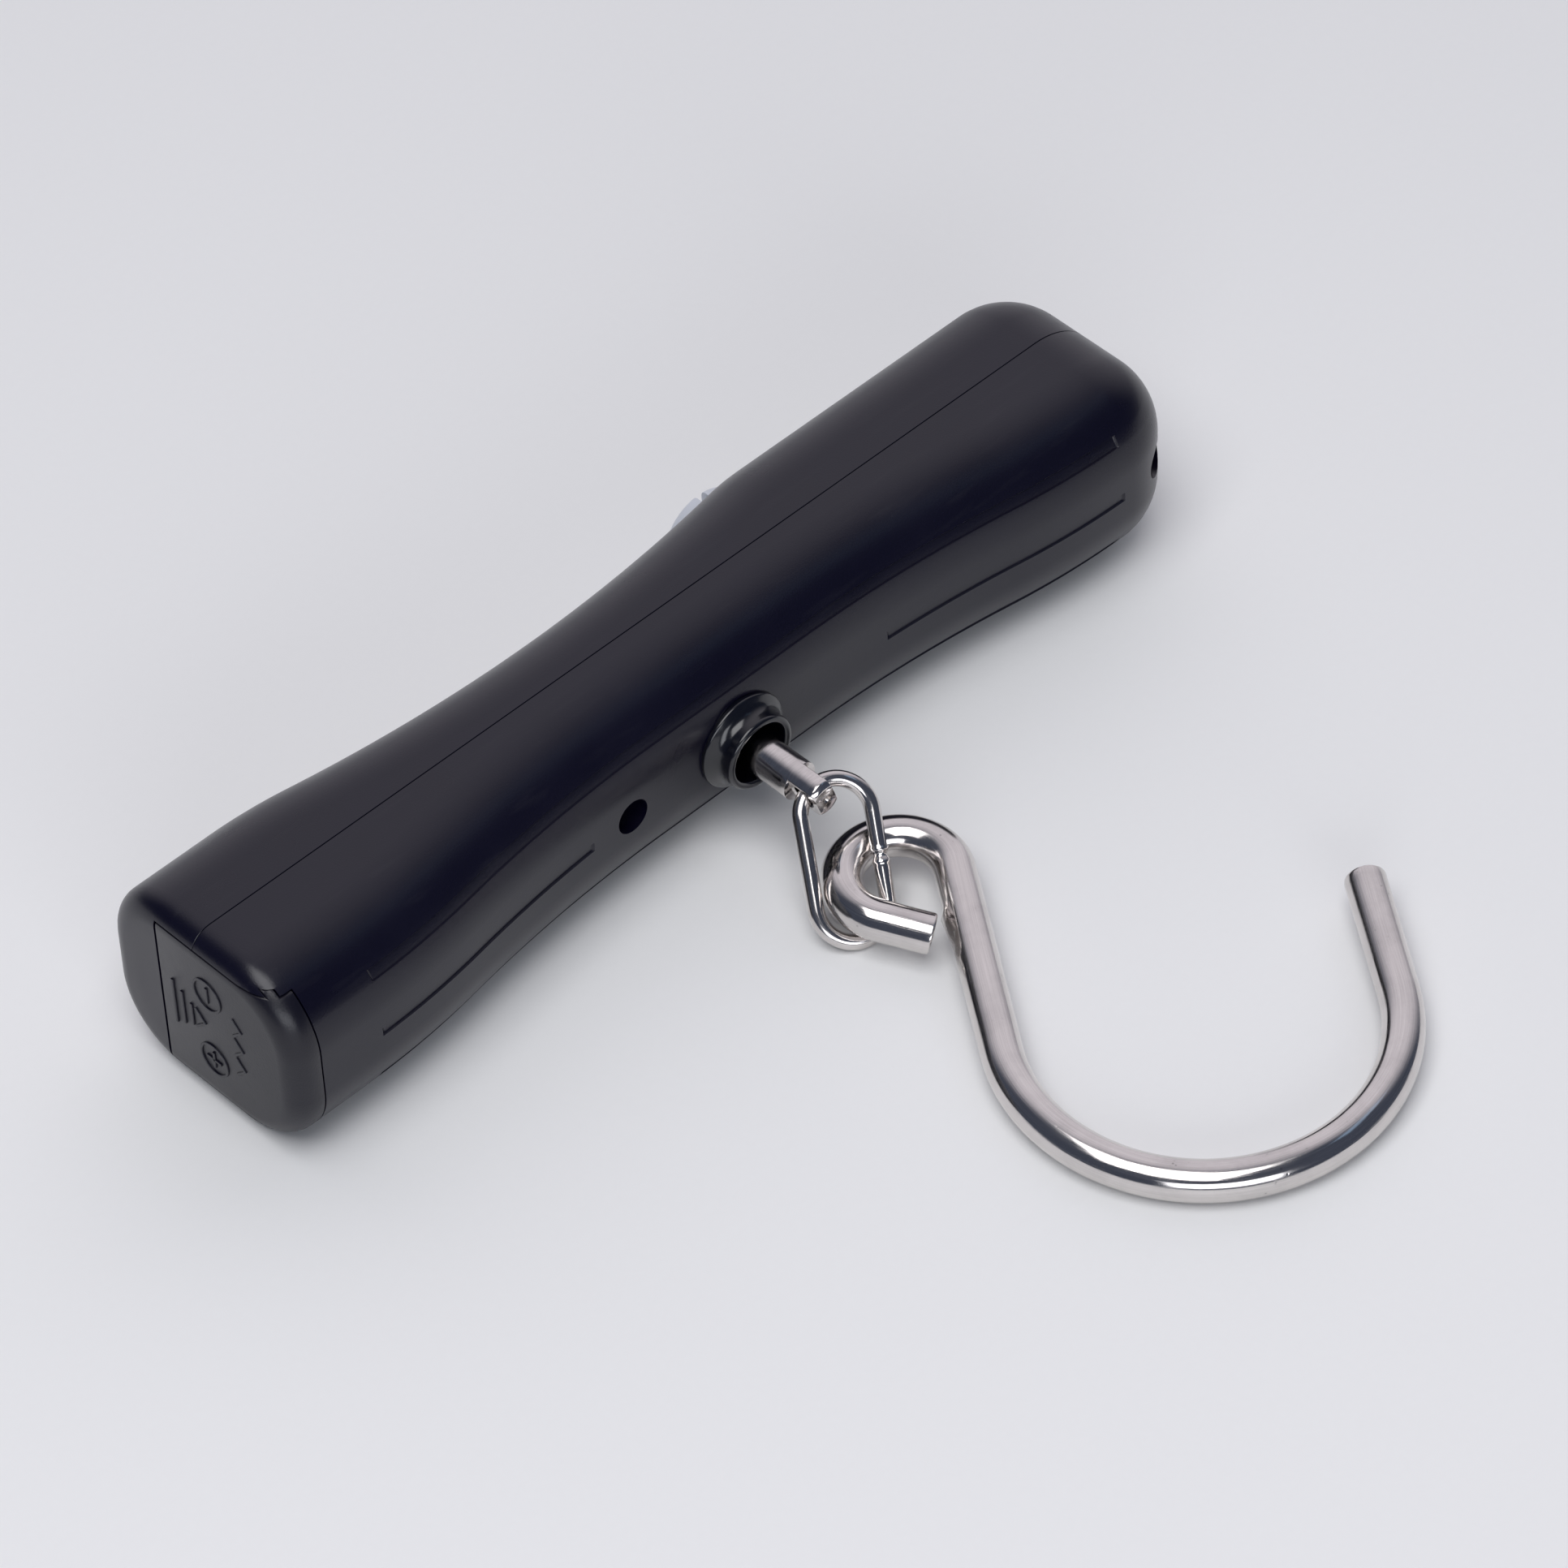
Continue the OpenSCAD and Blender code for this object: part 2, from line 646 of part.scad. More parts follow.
module display_lens() {
  gap = 0.1;
  y = [14.4, facet_y - 0.05];
  color("#3a4148") translate([window_x[0] + gap, y[0], mid_z - window_h / 2 + gap])
    cube([window_x[1] - window_x[0] - 2 * gap, y[1] - y[0], window_h - 2 * gap]);
}

// Half of the key disc on one side of the slot: its top edge is rounded
module key_half(dir) {
  edge = 0.8;
  slot = 0.6;
  foot_y = 12.6;
  intersection() {
    union() {
      translate([keys_x, foot_y, mid_z]) rotate([-90, 0, 0]) {
        cylinder(r = keys_r, h = keys_top_y - edge - foot_y);
        translate([0, 0, keys_top_y - edge - foot_y]) cylinder(r = keys_r - edge, h = edge);
        translate([0, 0, keys_top_y - edge - foot_y]) rotate_extrude()
          translate([keys_r - edge, 0]) circle(r = edge);
      }
      translate([keys_x - 7.6, foot_y, mid_z - 2.7]) cube([15.2, 0.7, 5.4]);
    }
    translate([dir > 0 ? keys_x + slot : keys_x - 20 - slot, 10, 0]) cube([20, 20, thick]);
  }
}
module tare_key() {
  color("#d3d7de") key_half(-1);
}
module unit_key() {
  color("#d3d7de") key_half(1);
}

module key_mat() {
  color("#55555c") {
    translate([keys_x - 7.5, board_y + board_t, mid_z - 5.5]) cube([15, 0.4, 11]);
    for (side = [-1, 1]) post(keys_x + side * 3.6, mid_z, 1.8, board_y + board_t, 12.05);
  }
}

module board_screws() {
  color("#8f9296") for (z = [board_screw[1], thick - board_screw[1]])
    pan_screw(board_screw[0], board_y, z, 1.6, 1, 0.9, 3.4, 1);
}

module shell_screws() {
  color("#8f9296") for (x = screw_x) pan_screw(x, screw_head_y, mid_z, 2.15, 1.6, 1.3, 13, 1);
}

display_shell();
hook_shell();
collar_ring();
battery_door();
door_contact();
battery_upper();
battery_lower();
battery_bulkhead();
positive_contact();
negative_spring();
load_cell();
strain_gauges();
anchor_plate();
load_cell_screws();
thrust_washer();
pull_rod();
rod_nut();
rod_clip();
link();
hook();
circuit_board();
controller_chip();
lcd_panel();
lcd_connector();
display_lens();
tare_key();
unit_key();
key_mat();
board_screws();
shell_screws();
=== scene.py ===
import math
import bmesh
import bpy
import numpy as np
from mathutils import Matrix, Vector


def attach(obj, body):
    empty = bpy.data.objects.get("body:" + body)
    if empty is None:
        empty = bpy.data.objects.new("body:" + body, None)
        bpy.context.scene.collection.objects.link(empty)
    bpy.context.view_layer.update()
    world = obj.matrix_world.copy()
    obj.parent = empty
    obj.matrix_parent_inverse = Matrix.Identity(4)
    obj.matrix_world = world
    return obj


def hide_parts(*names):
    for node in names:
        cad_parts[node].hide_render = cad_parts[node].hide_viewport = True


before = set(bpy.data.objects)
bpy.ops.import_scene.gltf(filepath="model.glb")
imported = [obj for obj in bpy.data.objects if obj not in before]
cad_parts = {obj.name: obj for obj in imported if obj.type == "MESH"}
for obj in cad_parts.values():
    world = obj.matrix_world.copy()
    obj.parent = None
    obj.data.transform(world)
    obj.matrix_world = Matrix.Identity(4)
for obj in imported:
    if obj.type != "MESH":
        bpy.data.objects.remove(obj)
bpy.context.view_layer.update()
MM = 0.001

# ---------------------------------------------------------------- hook-side half shell
# Half shell of black ABS on the side the hook hangs from. It has the finger hollows, two
# long and two short grip grooves, two screw recesses and the hole for the collar. Two
# screws hold it to the other half, and a fine seam is left between them.
# Thickness, edge radius, wall, split plane and half of the seam, in mm
THICK, EDGE, WALL, SPLIT, SEAM = 26.4, 10.0, 2.0, 2.0, 0.035
BATTERY_X, FAR_X, MID_Z, END_R = -72.5, 71.0, 13.2, 3.0


def placed(name, data):
    """A new object in the scene, at the origin."""
    made = bpy.data.objects.new(name, data)
    bpy.context.scene.collection.objects.link(made)
    return made


def mesh_object(name, points, faces, weld=1e-7):
    """A mesh object from points in mm, doubles merged and faces turned outward."""
    mesh = bpy.data.meshes.new(name)
    mesh.from_pydata([tuple(p) for p in np.asarray(points, float) * MM], [], faces)
    made = placed(name, mesh)
    tidy_mesh(made, weld)
    return made


def tidy_mesh(obj, weld=1e-7):
    """Merges doubles and points every face outward."""
    bm = bmesh.new()
    bm.from_mesh(obj.data)
    bmesh.ops.remove_doubles(bm, verts=bm.verts, dist=weld)
    bmesh.ops.dissolve_degenerate(bm, edges=bm.edges, dist=weld)
    bmesh.ops.recalc_face_normals(bm, faces=bm.faces)
    bm.to_mesh(obj.data)
    bm.free()


def soften(obj, degrees=32):
    """Smooth shading with sharp edges kept above an angle."""
    obj.data.shade_smooth()
    obj.data.set_sharp_from_angle(angle=math.radians(degrees))


def grid_faces(rows, cols, start=0, wrap_cols=False, wrap_rows=False):
    """Quads of a grid of points stored row by row."""
    faces = []
    for i in range(rows if wrap_rows else rows - 1):
        for j in range(cols if wrap_cols else cols - 1):
            k, l = (i + 1) % rows, (j + 1) % cols
            quad = (i * cols + j, i * cols + l, k * cols + l, k * cols + j)
            faces.append(tuple(start + corner for corner in quad))
    return faces


def arc(cx, cy, r, a0, a1, steps):
    """Points of an arc in a plane, its angles in degrees."""
    turns = map(math.radians, np.linspace(a0, a1, steps))
    return [(cx + r * math.cos(a), cy + r * math.sin(a)) for a in turns]


def lathe(name, profile, origin, axis, steps=96, closed=True):
    """Turns a profile of (radius, distance along the axis) in mm round an axis."""
    turn = Vector(axis).to_track_quat("Z", "Y").to_matrix()
    points = []
    for i in range(steps):
        a = 2 * math.pi * i / steps
        for r, d in profile:
            points.append(Vector(origin) + turn @ Vector((r * math.cos(a), r * math.sin(a), d)))
    return mesh_object(name, points, grid_faces(steps, len(profile), wrap_cols=closed, wrap_rows=True))


def dress(obj, material):
    """Gives the whole of a mesh one material."""
    obj.data.materials.clear()
    obj.data.materials.append(material)
    obj.data.polygons.foreach_set("material_index", [0] * len(obj.data.polygons))


def box_cutter(lo, hi):
    """A plain block, used to cut or to add."""
    x, y, z = zip(lo, hi)
    points = [(x[i], y[j], z[k]) for i in (0, 1) for j in (0, 1) for k in (0, 1)]
    faces = [(0, 1, 3, 2), (4, 6, 7, 5), (0, 4, 5, 1), (2, 3, 7, 6), (0, 2, 6, 4), (1, 5, 7, 3)]
    return mesh_object("cutter", points, faces)


def applied(obj):
    """Turns what an object's modifiers make into its own plain mesh."""
    graph = bpy.context.evaluated_depsgraph_get()
    mesh = bpy.data.meshes.new_from_object(obj.evaluated_get(graph))
    obj.modifiers.clear()
    obj.data = mesh
    return obj


def cut(obj, others, operation="DIFFERENCE"):
    """Cuts or adds closed meshes, one after another, and throws them away."""
    for other in others:
        modifier = obj.modifiers.new("cut", "BOOLEAN")
        modifier.operation, modifier.object, modifier.solver = operation, other, "MANIFOLD"
        applied(obj)
        bpy.data.objects.remove(other)


RISE = 12


def outline_stations(line, step):
    """Points, normals and x of one side of the handle, from the battery end to the corner."""
    low_x, flat, low, high_batt, high_far, low_r = line
    marks = []

    def straight(x0, x1, h):
        count = max(2, int(abs(x1 - x0) / step) + 1)
        for t in np.linspace(0, 1, count):
            marks.append((x0 + (x1 - x0) * t, h, 0.0, -1.0))

    def rise(x0, h0, height, sign):
        """Two arcs that meet smoothly, over RISE times their height."""
        high_r = (RISE ** 2 + 1) / 2 * height - low_r
        full = math.atan2(RISE, (RISE ** 2 - 1) / 2)
        low_arc = [(math.sin(t), math.cos(t)) for t in np.linspace(0, full, 26)]
        found = [(low_r * s, low_r * (1 - c), s, -c) for s, c in low_arc]
        high_arc = [(math.sin(t), math.cos(t)) for t in np.linspace(full, 0, 26)]
        found += [(RISE * height - high_r * s, height - high_r * (1 - c), s, -c) for s, c in high_arc]
        if sign < 0:
            found = [(-x, y, -nx, ny) for x, y, nx, ny in reversed(found)]
        marks.extend((x0 + x, h0 + y, nx, ny) for x, y, nx, ny in found)

    rise_batt, rise_far = RISE * (high_batt - low), RISE * (high_far - low)
    straight(BATTERY_X + END_R, low_x - flat - rise_batt, high_batt)
    rise(low_x - flat, low, high_batt - low, -1)
    if flat > 0:
        straight(low_x - flat, low_x + flat, low)
    rise(low_x + flat, low, high_far - low, 1)
    if FAR_X - EDGE - (low_x + flat + rise_far) > 0.1:
        straight(low_x + flat + rise_far, FAR_X - EDGE, high_far)
    kept = [marks[0]]
    for mark in marks[1:]:
        if abs(mark[0] - kept[-1][0]) > 1e-5:
            kept.append(mark)
    return kept


def section_marks(flats, tilts=(), mid=()):
    """Where the section of a half is sampled: kind and parameter of each point, top to bottom."""
    top = sorted({*(float(a) for a in range(0, 91, 5)), *tilts}, reverse=True)
    marks = [("flat", k / flats, 1) for k in range(flats)]
    marks += [("arc", a, 1) for a in top]
    marks += [("side", z, 0) for z in sorted({*mid, -1.6, 0.0, 1.6}, reverse=True)]
    marks += [("arc", a, -1) for a in reversed(top)]
    marks += [("flat", k / flats, -1) for k in reversed(range(flats))]
    return marks


def half_skin(line, marks, inset=0.0, base=SEAM, end_in=0.0, groove=None, clip=None, step=2.0, extra=()):
    """Grid of points (x, height over the split plane, z) of one skin of a half shell."""
    height, top = line[3], line[4] - EDGE
    corner_x = FAR_X - EDGE

    def section(e=0.0, x=None):
        """Depth, share of the flat and z of every mark, moved in by e."""
        found = []
        for kind, value, side in marks:
            g = groove(x, kind, value) if groove and x is not None and kind != "flat" else 0.0
            if kind == "flat":
                found.append((None, value, side * (MID_Z - inset - e)))
            elif kind == "arc":
                a, r = math.radians(value), EDGE - inset - e - g
                found.append((EDGE - r * math.cos(a), None, side * (MID_Z - EDGE + r * math.sin(a))))
            else:
                found.append((inset + e + g, None, value))
        return found

    # The battery end: its flat face, then its rounded edge
    rows = []
    end_x, end_r = BATTERY_X + end_in, max(END_R - end_in, 0.6)
    cap = [(end_r, end_x, f) for f in (0.0, 0.2, 0.4, 0.6, 0.8)]
    for t in map(math.radians, np.linspace(90, 12, 8)):
        cap.append((end_r * (1 - math.cos(t)), end_x + end_r * (1 - math.sin(t)), 1.0))
    for e, x, f in cap:
        row = []
        for depth, value, z in section(e):
            y = height - depth if depth is not None else base + (height - EDGE - base) * value
            row.append((x, base + (y - base) * f, MID_Z + z * f))
        rows.append(row)

    # The length of the handle, with the extra stations put in
    stations = outline_stations(line, step)
    for x in extra:
        xs = [s[0] for s in stations]
        i = int(np.searchsorted(xs, x))
        if i in (0, len(xs)) or min(abs(xs[i] - x), abs(xs[i - 1] - x)) < 1e-4:
            continue
        a, b = np.array(stations[i - 1]), np.array(stations[i])
        mark = a + (b - a) * (x - a[0]) / (b[0] - a[0])
        mark[2:] /= np.linalg.norm(mark[2:])
        stations.insert(i, tuple(mark))
    for index, (x, h, nx, ny) in enumerate(stations):
        if index == 0:
            x = max(x, end_x + end_r)
        row = []
        for depth, value, z in section(0.0, x):
            if depth is None:
                reach = (h - base) / -ny
                depth = reach + (EDGE - reach) * value
            row.append((x + nx * depth, h + ny * depth, MID_Z + z))
        pair = [row]
        if clip and clip[0] - 1e-6 <= x <= clip[1] + 1e-6:
            flat = [(px, min(py, clip[2]), pz) for px, py, pz in row]
            pair = [flat]
            if abs(x - clip[0]) < 1e-6:
                pair = [row, flat]
            elif abs(x - clip[1]) < 1e-6:
                pair = [flat, row]
        rows.extend(pair)

    # The far corner and the far face, down to the split plane
    flats = sum(mark[0] == "flat" and mark[2] > 0 for mark in marks)
    turns = [(math.sin(a), math.cos(a), top) for a in map(math.radians, np.linspace(0, 90, 19)[1:])]
    turns += [(1.0, 0.0, base + (top - base) * (1 - k / flats)) for k in range(1, flats + 1)]
    for s, c, y in turns:
        row = []
        for depth, value, z in section():
            if depth is None:
                row.append((corner_x, min(y, base + (top - base) * value), MID_Z + z))
            else:
                row.append((corner_x + (EDGE - depth) * s, y + (EDGE - depth) * c, MID_Z + z))
        rows.append(row)
    return np.array(rows)


def rim_loop(rows):
    """The open edge of a skin, from the battery end along the top, round the far end and back."""
    return np.concatenate([rows[:, 0], rows[-1, 1:], rows[::-1, -1][1:]])


LIP = 0.05


def half_shell(name, line, marks, sign, groove=None, clip=None, **shape):
    """A closed half shell: outer skin, inner skin and a small bevel and flat between them."""
    outer = half_skin(line, marks, 0.0, SEAM + LIP, groove=groove, clip=clip, **shape)
    lip = half_skin(line, marks, LIP, SEAM, LIP, **shape)
    inner = half_skin(line, marks, WALL, SEAM, WALL + 0.2, **shape)
    if clip:
        # The clipped skin has two rows at each end of its flat, so the others repeat theirs
        for k, rows in enumerate((lip, inner)):
            xs = rows[:, rows.shape[1] // 2, 0]
            twice = [int(np.argmin(abs(xs - x))) for x in clip[:2]]
            rows = rows[sorted([*range(len(rows)), *twice])]
            lip, inner = (rows, inner) if k == 0 else (lip, rows)
    points, faces = [], []
    for rows in (outer, inner):
        faces += grid_faces(rows.shape[0], rows.shape[1], len(points))
        points += list(rows.reshape(-1, 3))
    loops = [rim_loop(rows) for rows in (outer, lip, inner)]
    faces += grid_faces(3, len(loops[0]), len(points), wrap_cols=True)
    for loop in loops:
        points += list(loop)
    points = np.array(points)
    points[:, 1] = SPLIT + sign * points[:, 1]
    return mesh_object(name, points, faces, 2e-6)


# Middle of the hollow, half its straight part, height there, at the battery end and at the
# far end, and the radius of the hollow
GRIP_LINE = (0, 11.8, 12.3, 16.4, 16.4, 190)
DISPLAY_LINE = (-14, 0, 11.7, 15.4, 14.9, 200)
GROOVE_DEPTH, GROOVE_END, GROOVE_GAP, GROOVE_ANGLE = 0.24, 59.5, 23.5, 30
EDGE_HALF, FACE_HALF = 0.8, 0.68


def grip_groove(x, kind, value):
    """Depth of the grooves: two long ones on the rounded edges, two in line on the face."""
    along = (GROOVE_END - abs(x)) / 0.35
    if kind == "arc":
        across, half = math.radians(abs(value - GROOVE_ANGLE)) * EDGE, EDGE_HALF
    else:
        across, half = abs(value), FACE_HALF
        along = min(along, (abs(x) - GROOVE_GAP) / 0.35)
    along = min(1.0, max(0.0, along))
    wall = min(1.0, max(0.0, (half - across) / 0.1))
    return GROOVE_DEPTH * math.sin(along * math.pi / 2) * wall * wall * (3 - 2 * wall)


# Where the skin is sampled closely: across the grooves' walls and at their ends
walls = (0.12, 0.18, 0.1, 0.067, 0.033, 0.0, -0.05, -0.15)
angles = [GROOVE_ANGLE + s * math.degrees((EDGE_HALF - w) / EDGE) for s in (-1, 1) for w in walls]
across = [s * (FACE_HALF - w) for s in (-1, 1) for w in walls] + [-3.2, 3.2]
fades = (-0.1, 0, 0.06, 0.12, 0.2, 0.35, 0.5)
ends = [s * (GROOVE_END - d) for s in (-1, 1) for d in fades]
ends += [s * (GROOVE_GAP + d) for s in (-1, 1) for d in fades]
hook_marks = section_marks(12, angles, across)
hook_half = half_shell(
    "hook_half", GRIP_LINE, hook_marks, -1, groove=grip_groove, extra=ends, step=1.6)


def post(x, z, r, y0, y1):
    """A round post or cutter along Y."""
    return lathe("post", [(0, y0), (r, y0), (r, y1), (0, y1)], (x, 0, z), (0, 1, 0), 64, closed=False)


def door_cutters():
    """Blocks that open the shells for the battery door and its guide grooves."""
    corners = [
        ((-76, 1.99), (-70.1, 8.45, 24.41)), ((-76, 1.99), (-68.4, -4.4, 24.41)),
        ((-71.35, 1.42), (-70.1, 7.4, 2.5)), ((-71.35, 23.9), (-70.1, 7.4, 24.98))]
    return [box_cutter((x, -30, z), hi) for (x, z), hi in corners]


def far_post(line, sign, r, y0, y1):
    """The screw post at the far corner, trimmed to stay inside the wall."""
    rows = half_skin(line, section_marks(4), 0.4, 0.0, 0.4).reshape(-1, 3)
    rows = rows[rows[:, 0] > 58]
    rows[:, 1] = SPLIT + sign * rows[:, 1]
    bm = bmesh.new()
    for p in rows:
        bm.verts.new(p * MM)
    hull = bmesh.ops.convex_hull(bm, input=bm.verts)
    inside = [g for g in hull["geom_interior"] if isinstance(g, bmesh.types.BMVert)]
    bmesh.ops.delete(bm, geom=inside, context="VERTS")
    trim = placed("trim", bpy.data.meshes.new("trim"))
    bm.to_mesh(trim.data)
    bm.free()
    tidy_mesh(trim)
    made = post(FAR_SCREW_X, MID_Z, r, y0, y1)
    cut(made, [trim], "INTERSECT")
    return made


NEAR_SCREW_X, FAR_SCREW_X, BEAM_SCREWS_X = -17.2, 66.8, (24.5, 30.5)
near_post = post(NEAR_SCREW_X, MID_Z, 3.7, -9.6, SPLIT - SEAM)
cut(hook_half, [near_post, far_post(GRIP_LINE, -1, 3.7, -16, SPLIT - SEAM)], "UNION")
cut(hook_half, [post(x, MID_Z, 2.8, top, -6.0) for x, top in zip(BEAM_SCREWS_X, (-9.9, -10.6))], "UNION")
for x in (NEAR_SCREW_X, FAR_SCREW_X):
    cut(hook_half, [post(x, MID_Z, 2.3, -20, -4.5), post(x, MID_Z, 1.45, -20, 5)])
cut(hook_half, [post(x, MID_Z, 1.5, -9, 0) for x in BEAM_SCREWS_X])
cut(hook_half, [post(0, MID_Z, 6.05, -20, 0)])
cut(hook_half, door_cutters())
tidy_mesh(hook_half)
soften(hook_half)


def node(tree, kind, **settings):
    """Adds a node and sets its properties."""
    made = tree.nodes.new(kind)
    for key, value in settings.items():
        setattr(made, key, value)
    return made


def shader_group(name, **inputs):
    """A node group with a vector, the named colours and numbers in, and a surface out."""
    group = bpy.data.node_groups.new(name, "ShaderNodeTree")
    group.interface.new_socket("Vector", in_out="INPUT", socket_type="NodeSocketVector")
    for label, value in inputs.items():
        kind = "Color" if isinstance(value, tuple) else "Float"
        made = group.interface.new_socket(
            label.replace("_", " "), in_out="INPUT", socket_type="NodeSocket" + kind)
        made.default_value = (*value, 1.0) if isinstance(value, tuple) else value
    for label, kind in (("Color", "Color"), ("Roughness", "Float"), ("Height", "Float")):
        group.interface.new_socket(label, in_out="OUTPUT", socket_type="NodeSocket" + kind)
    return group, node(group, "NodeGroupInput").outputs, node(group, "NodeGroupOutput").inputs


def math_node(tree, operation, a, b=0.0):
    """A maths node whose inputs are sockets or numbers."""
    made = node(tree, "ShaderNodeMath", operation=operation)
    for socket, value in zip(made.inputs, (a, b)):
        if isinstance(value, (int, float)):
            socket.default_value = value
        else:
            tree.links.new(value, socket)
    return made.outputs[0]


def spread(tree, value, lo, hi, out_lo, out_hi):
    """Maps a range of a value to another one."""
    made = node(tree, "ShaderNodeMapRange")
    tree.links.new(value, made.inputs["Value"])
    for key, number in zip(("From Min", "From Max", "To Min", "To Max"), (lo, hi, out_lo, out_hi)):
        made.inputs[key].default_value = number
    return made.outputs["Result"]


def noise_of(tree, vector, scale, detail, rough=0.55):
    """Noise value at a scale given per metre, as a number or a socket."""
    made = node(tree, "ShaderNodeTexNoise")
    if isinstance(scale, (int, float)):
        made.inputs["Scale"].default_value = scale
    else:
        tree.links.new(scale, made.inputs["Scale"])
    made.inputs["Detail"].default_value = detail
    made.inputs["Roughness"].default_value = rough
    tree.links.new(vector, made.inputs["Vector"])
    return made.outputs["Fac"]


def stretched(tree, vector, factors):
    """A vector scaled by its own factor along each axis."""
    made = node(tree, "ShaderNodeVectorMath", operation="MULTIPLY")
    tree.links.new(vector, made.inputs[0])
    made.inputs[1].default_value = factors
    return made.outputs[0]


def blend(tree, factor, a, b, mode="MIX"):
    """Mixes two colours by a socket; each may be a socket or a colour."""
    made = node(tree, "ShaderNodeMix", data_type="RGBA", blend_type=mode)
    tree.links.new(factor, made.inputs[0])
    for index, value in ((6, a), (7, b)):
        if isinstance(value, tuple):
            made.inputs[index].default_value = (*value, 1.0)
        else:
            tree.links.new(value, made.inputs[index])
    return made.outputs[2]


def build_moulded():
    """Moulded plastic: soft cloudiness, a fine spark-eroded grain and faint handling marks."""
    group, enter, leave = shader_group(
        "moulded_surface", Color=(0.03, 0.03, 0.035), Roughness=0.4, Grain=0.00002, Grain_Scale=3500.0)
    vector = enter["Vector"]
    cloud = noise_of(group, vector, 60, 3)
    rubs = noise_of(group, stretched(group, vector, (90, 700, 500)), 1.0, 6, 0.5)
    wear = spread(group, rubs, 0.58, 0.78, 0.0, 1.0)
    clouded = spread(group, cloud, 0.3, 0.7, 0.0, 1.0)
    tint = blend(group, clouded, enter["Color"], (1.22, 1.2, 1.2), "MULTIPLY")
    worn = math_node(group, "MULTIPLY", wear, 0.03)
    group.links.new(blend(group, worn, tint, (0.12, 0.12, 0.13)), leave["Color"])
    rough = math_node(group, "ADD", enter["Roughness"], spread(group, cloud, 0.3, 0.7, -0.035, 0.035))
    rough = math_node(group, "ADD", rough, math_node(group, "MULTIPLY", wear, 0.05))
    group.links.new(rough, leave["Roughness"])
    grain = noise_of(group, vector, enter["Grain Scale"], 2, 0.5)
    group.links.new(math_node(group, "MULTIPLY", grain, enter["Grain"]), leave["Height"])
    return group


def new_material(name, **sockets):
    """A material with its tree, its shader and the socket of its object coordinates."""
    made = bpy.data.materials.new(name)
    made.use_nodes = True
    tree = made.node_tree
    shader = tree.nodes["Principled BSDF"]
    for key, value in sockets.items():
        shader.inputs[key.replace("_", " ")].default_value = value
    return made, tree, shader, node(tree, "ShaderNodeTexCoord").outputs["Object"]


def group_material(name, group, values, extra=None, **sockets):
    """A material whose colour, roughness and bump come from a shared group."""
    made, tree, shader, vector = new_material(name, **sockets)
    use = node(tree, "ShaderNodeGroup", node_tree=group)
    tree.links.new(vector, use.inputs["Vector"])
    for key, value in values.items():
        use.inputs[key].default_value = (*value, 1.0) if isinstance(value, tuple) else value
    tree.links.new(use.outputs["Color"], shader.inputs["Base Color"])
    tree.links.new(use.outputs["Roughness"], shader.inputs["Roughness"])
    ripple = node(tree, "ShaderNodeBump")
    ripple.inputs["Strength"].default_value = 1.0
    ripple.inputs["Distance"].default_value = 1.0
    tree.links.new(use.outputs["Height"], ripple.inputs["Height"])
    tree.links.new(ripple.outputs["Normal"], shader.inputs["Normal"])
    if extra:
        extra(tree, shader, vector, use.outputs["Color"])
    return made


moulded = build_moulded()


def plastic(name, colour, rough, grain, scale, **sockets):
    """A moulded plastic; grain is the depth of its texture in metres."""
    values = {"Color": colour, "Roughness": rough, "Grain": grain, "Grain Scale": scale}
    return group_material(name, moulded, values, **sockets)


shell_black = plastic("shell_black", (0.0014, 0.001, 0.0085), 0.3, 0.000012, 5200.0)
dress(hook_half, shell_black)
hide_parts("hook_shell")
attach(hook_half, "housing")

# ---------------------------------------------------------------- display-side half shell
# Half shell of the same black ABS on the other side. It holds the display window on a
# shallow flat, the well of the two keys with a bar between them, and the posts that the
# board and the shell screws go into.
display_marks = section_marks(12, [math.degrees(math.acos(0.9))])
display_half = half_shell(
    "display_half", DISPLAY_LINE, display_marks, 1, clip=(28.0, 61.0, 13.9), extra=(28.0,), step=2.0)
near_post = post(NEAR_SCREW_X, MID_Z, 3.0, SPLIT + SEAM, 12.2)
cut(display_half, [near_post, far_post(DISPLAY_LINE, 1, 3.0, SPLIT + SEAM, 16)], "UNION")
BOARD_SCREWS_Z, KEYS_X = (7.2, 19.2), 20.6
cut(display_half, [post(61, z, 1.9, 11.4, 14.9) for z in BOARD_SCREWS_Z], "UNION")
well = post(KEYS_X, MID_Z, 6.15, 11, 20)
cut(well, [box_cutter((KEYS_X - 0.45, 5, 0), (KEYS_X + 0.45, 16.5, THICK))])
cut(display_half, [well, box_cutter((30, 10, 7), (59, 20, 19.4))])
cut(display_half, [post(x, MID_Z, 1.3, 0, 10.5) for x in (NEAR_SCREW_X, FAR_SCREW_X)])
cut(display_half, [post(61, z, 0.9, 10, 14.0) for z in BOARD_SCREWS_Z])
cut(display_half, door_cutters())
tidy_mesh(display_half)
soften(display_half)
dress(display_half, shell_black)
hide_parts("display_shell")
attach(display_half, "housing")

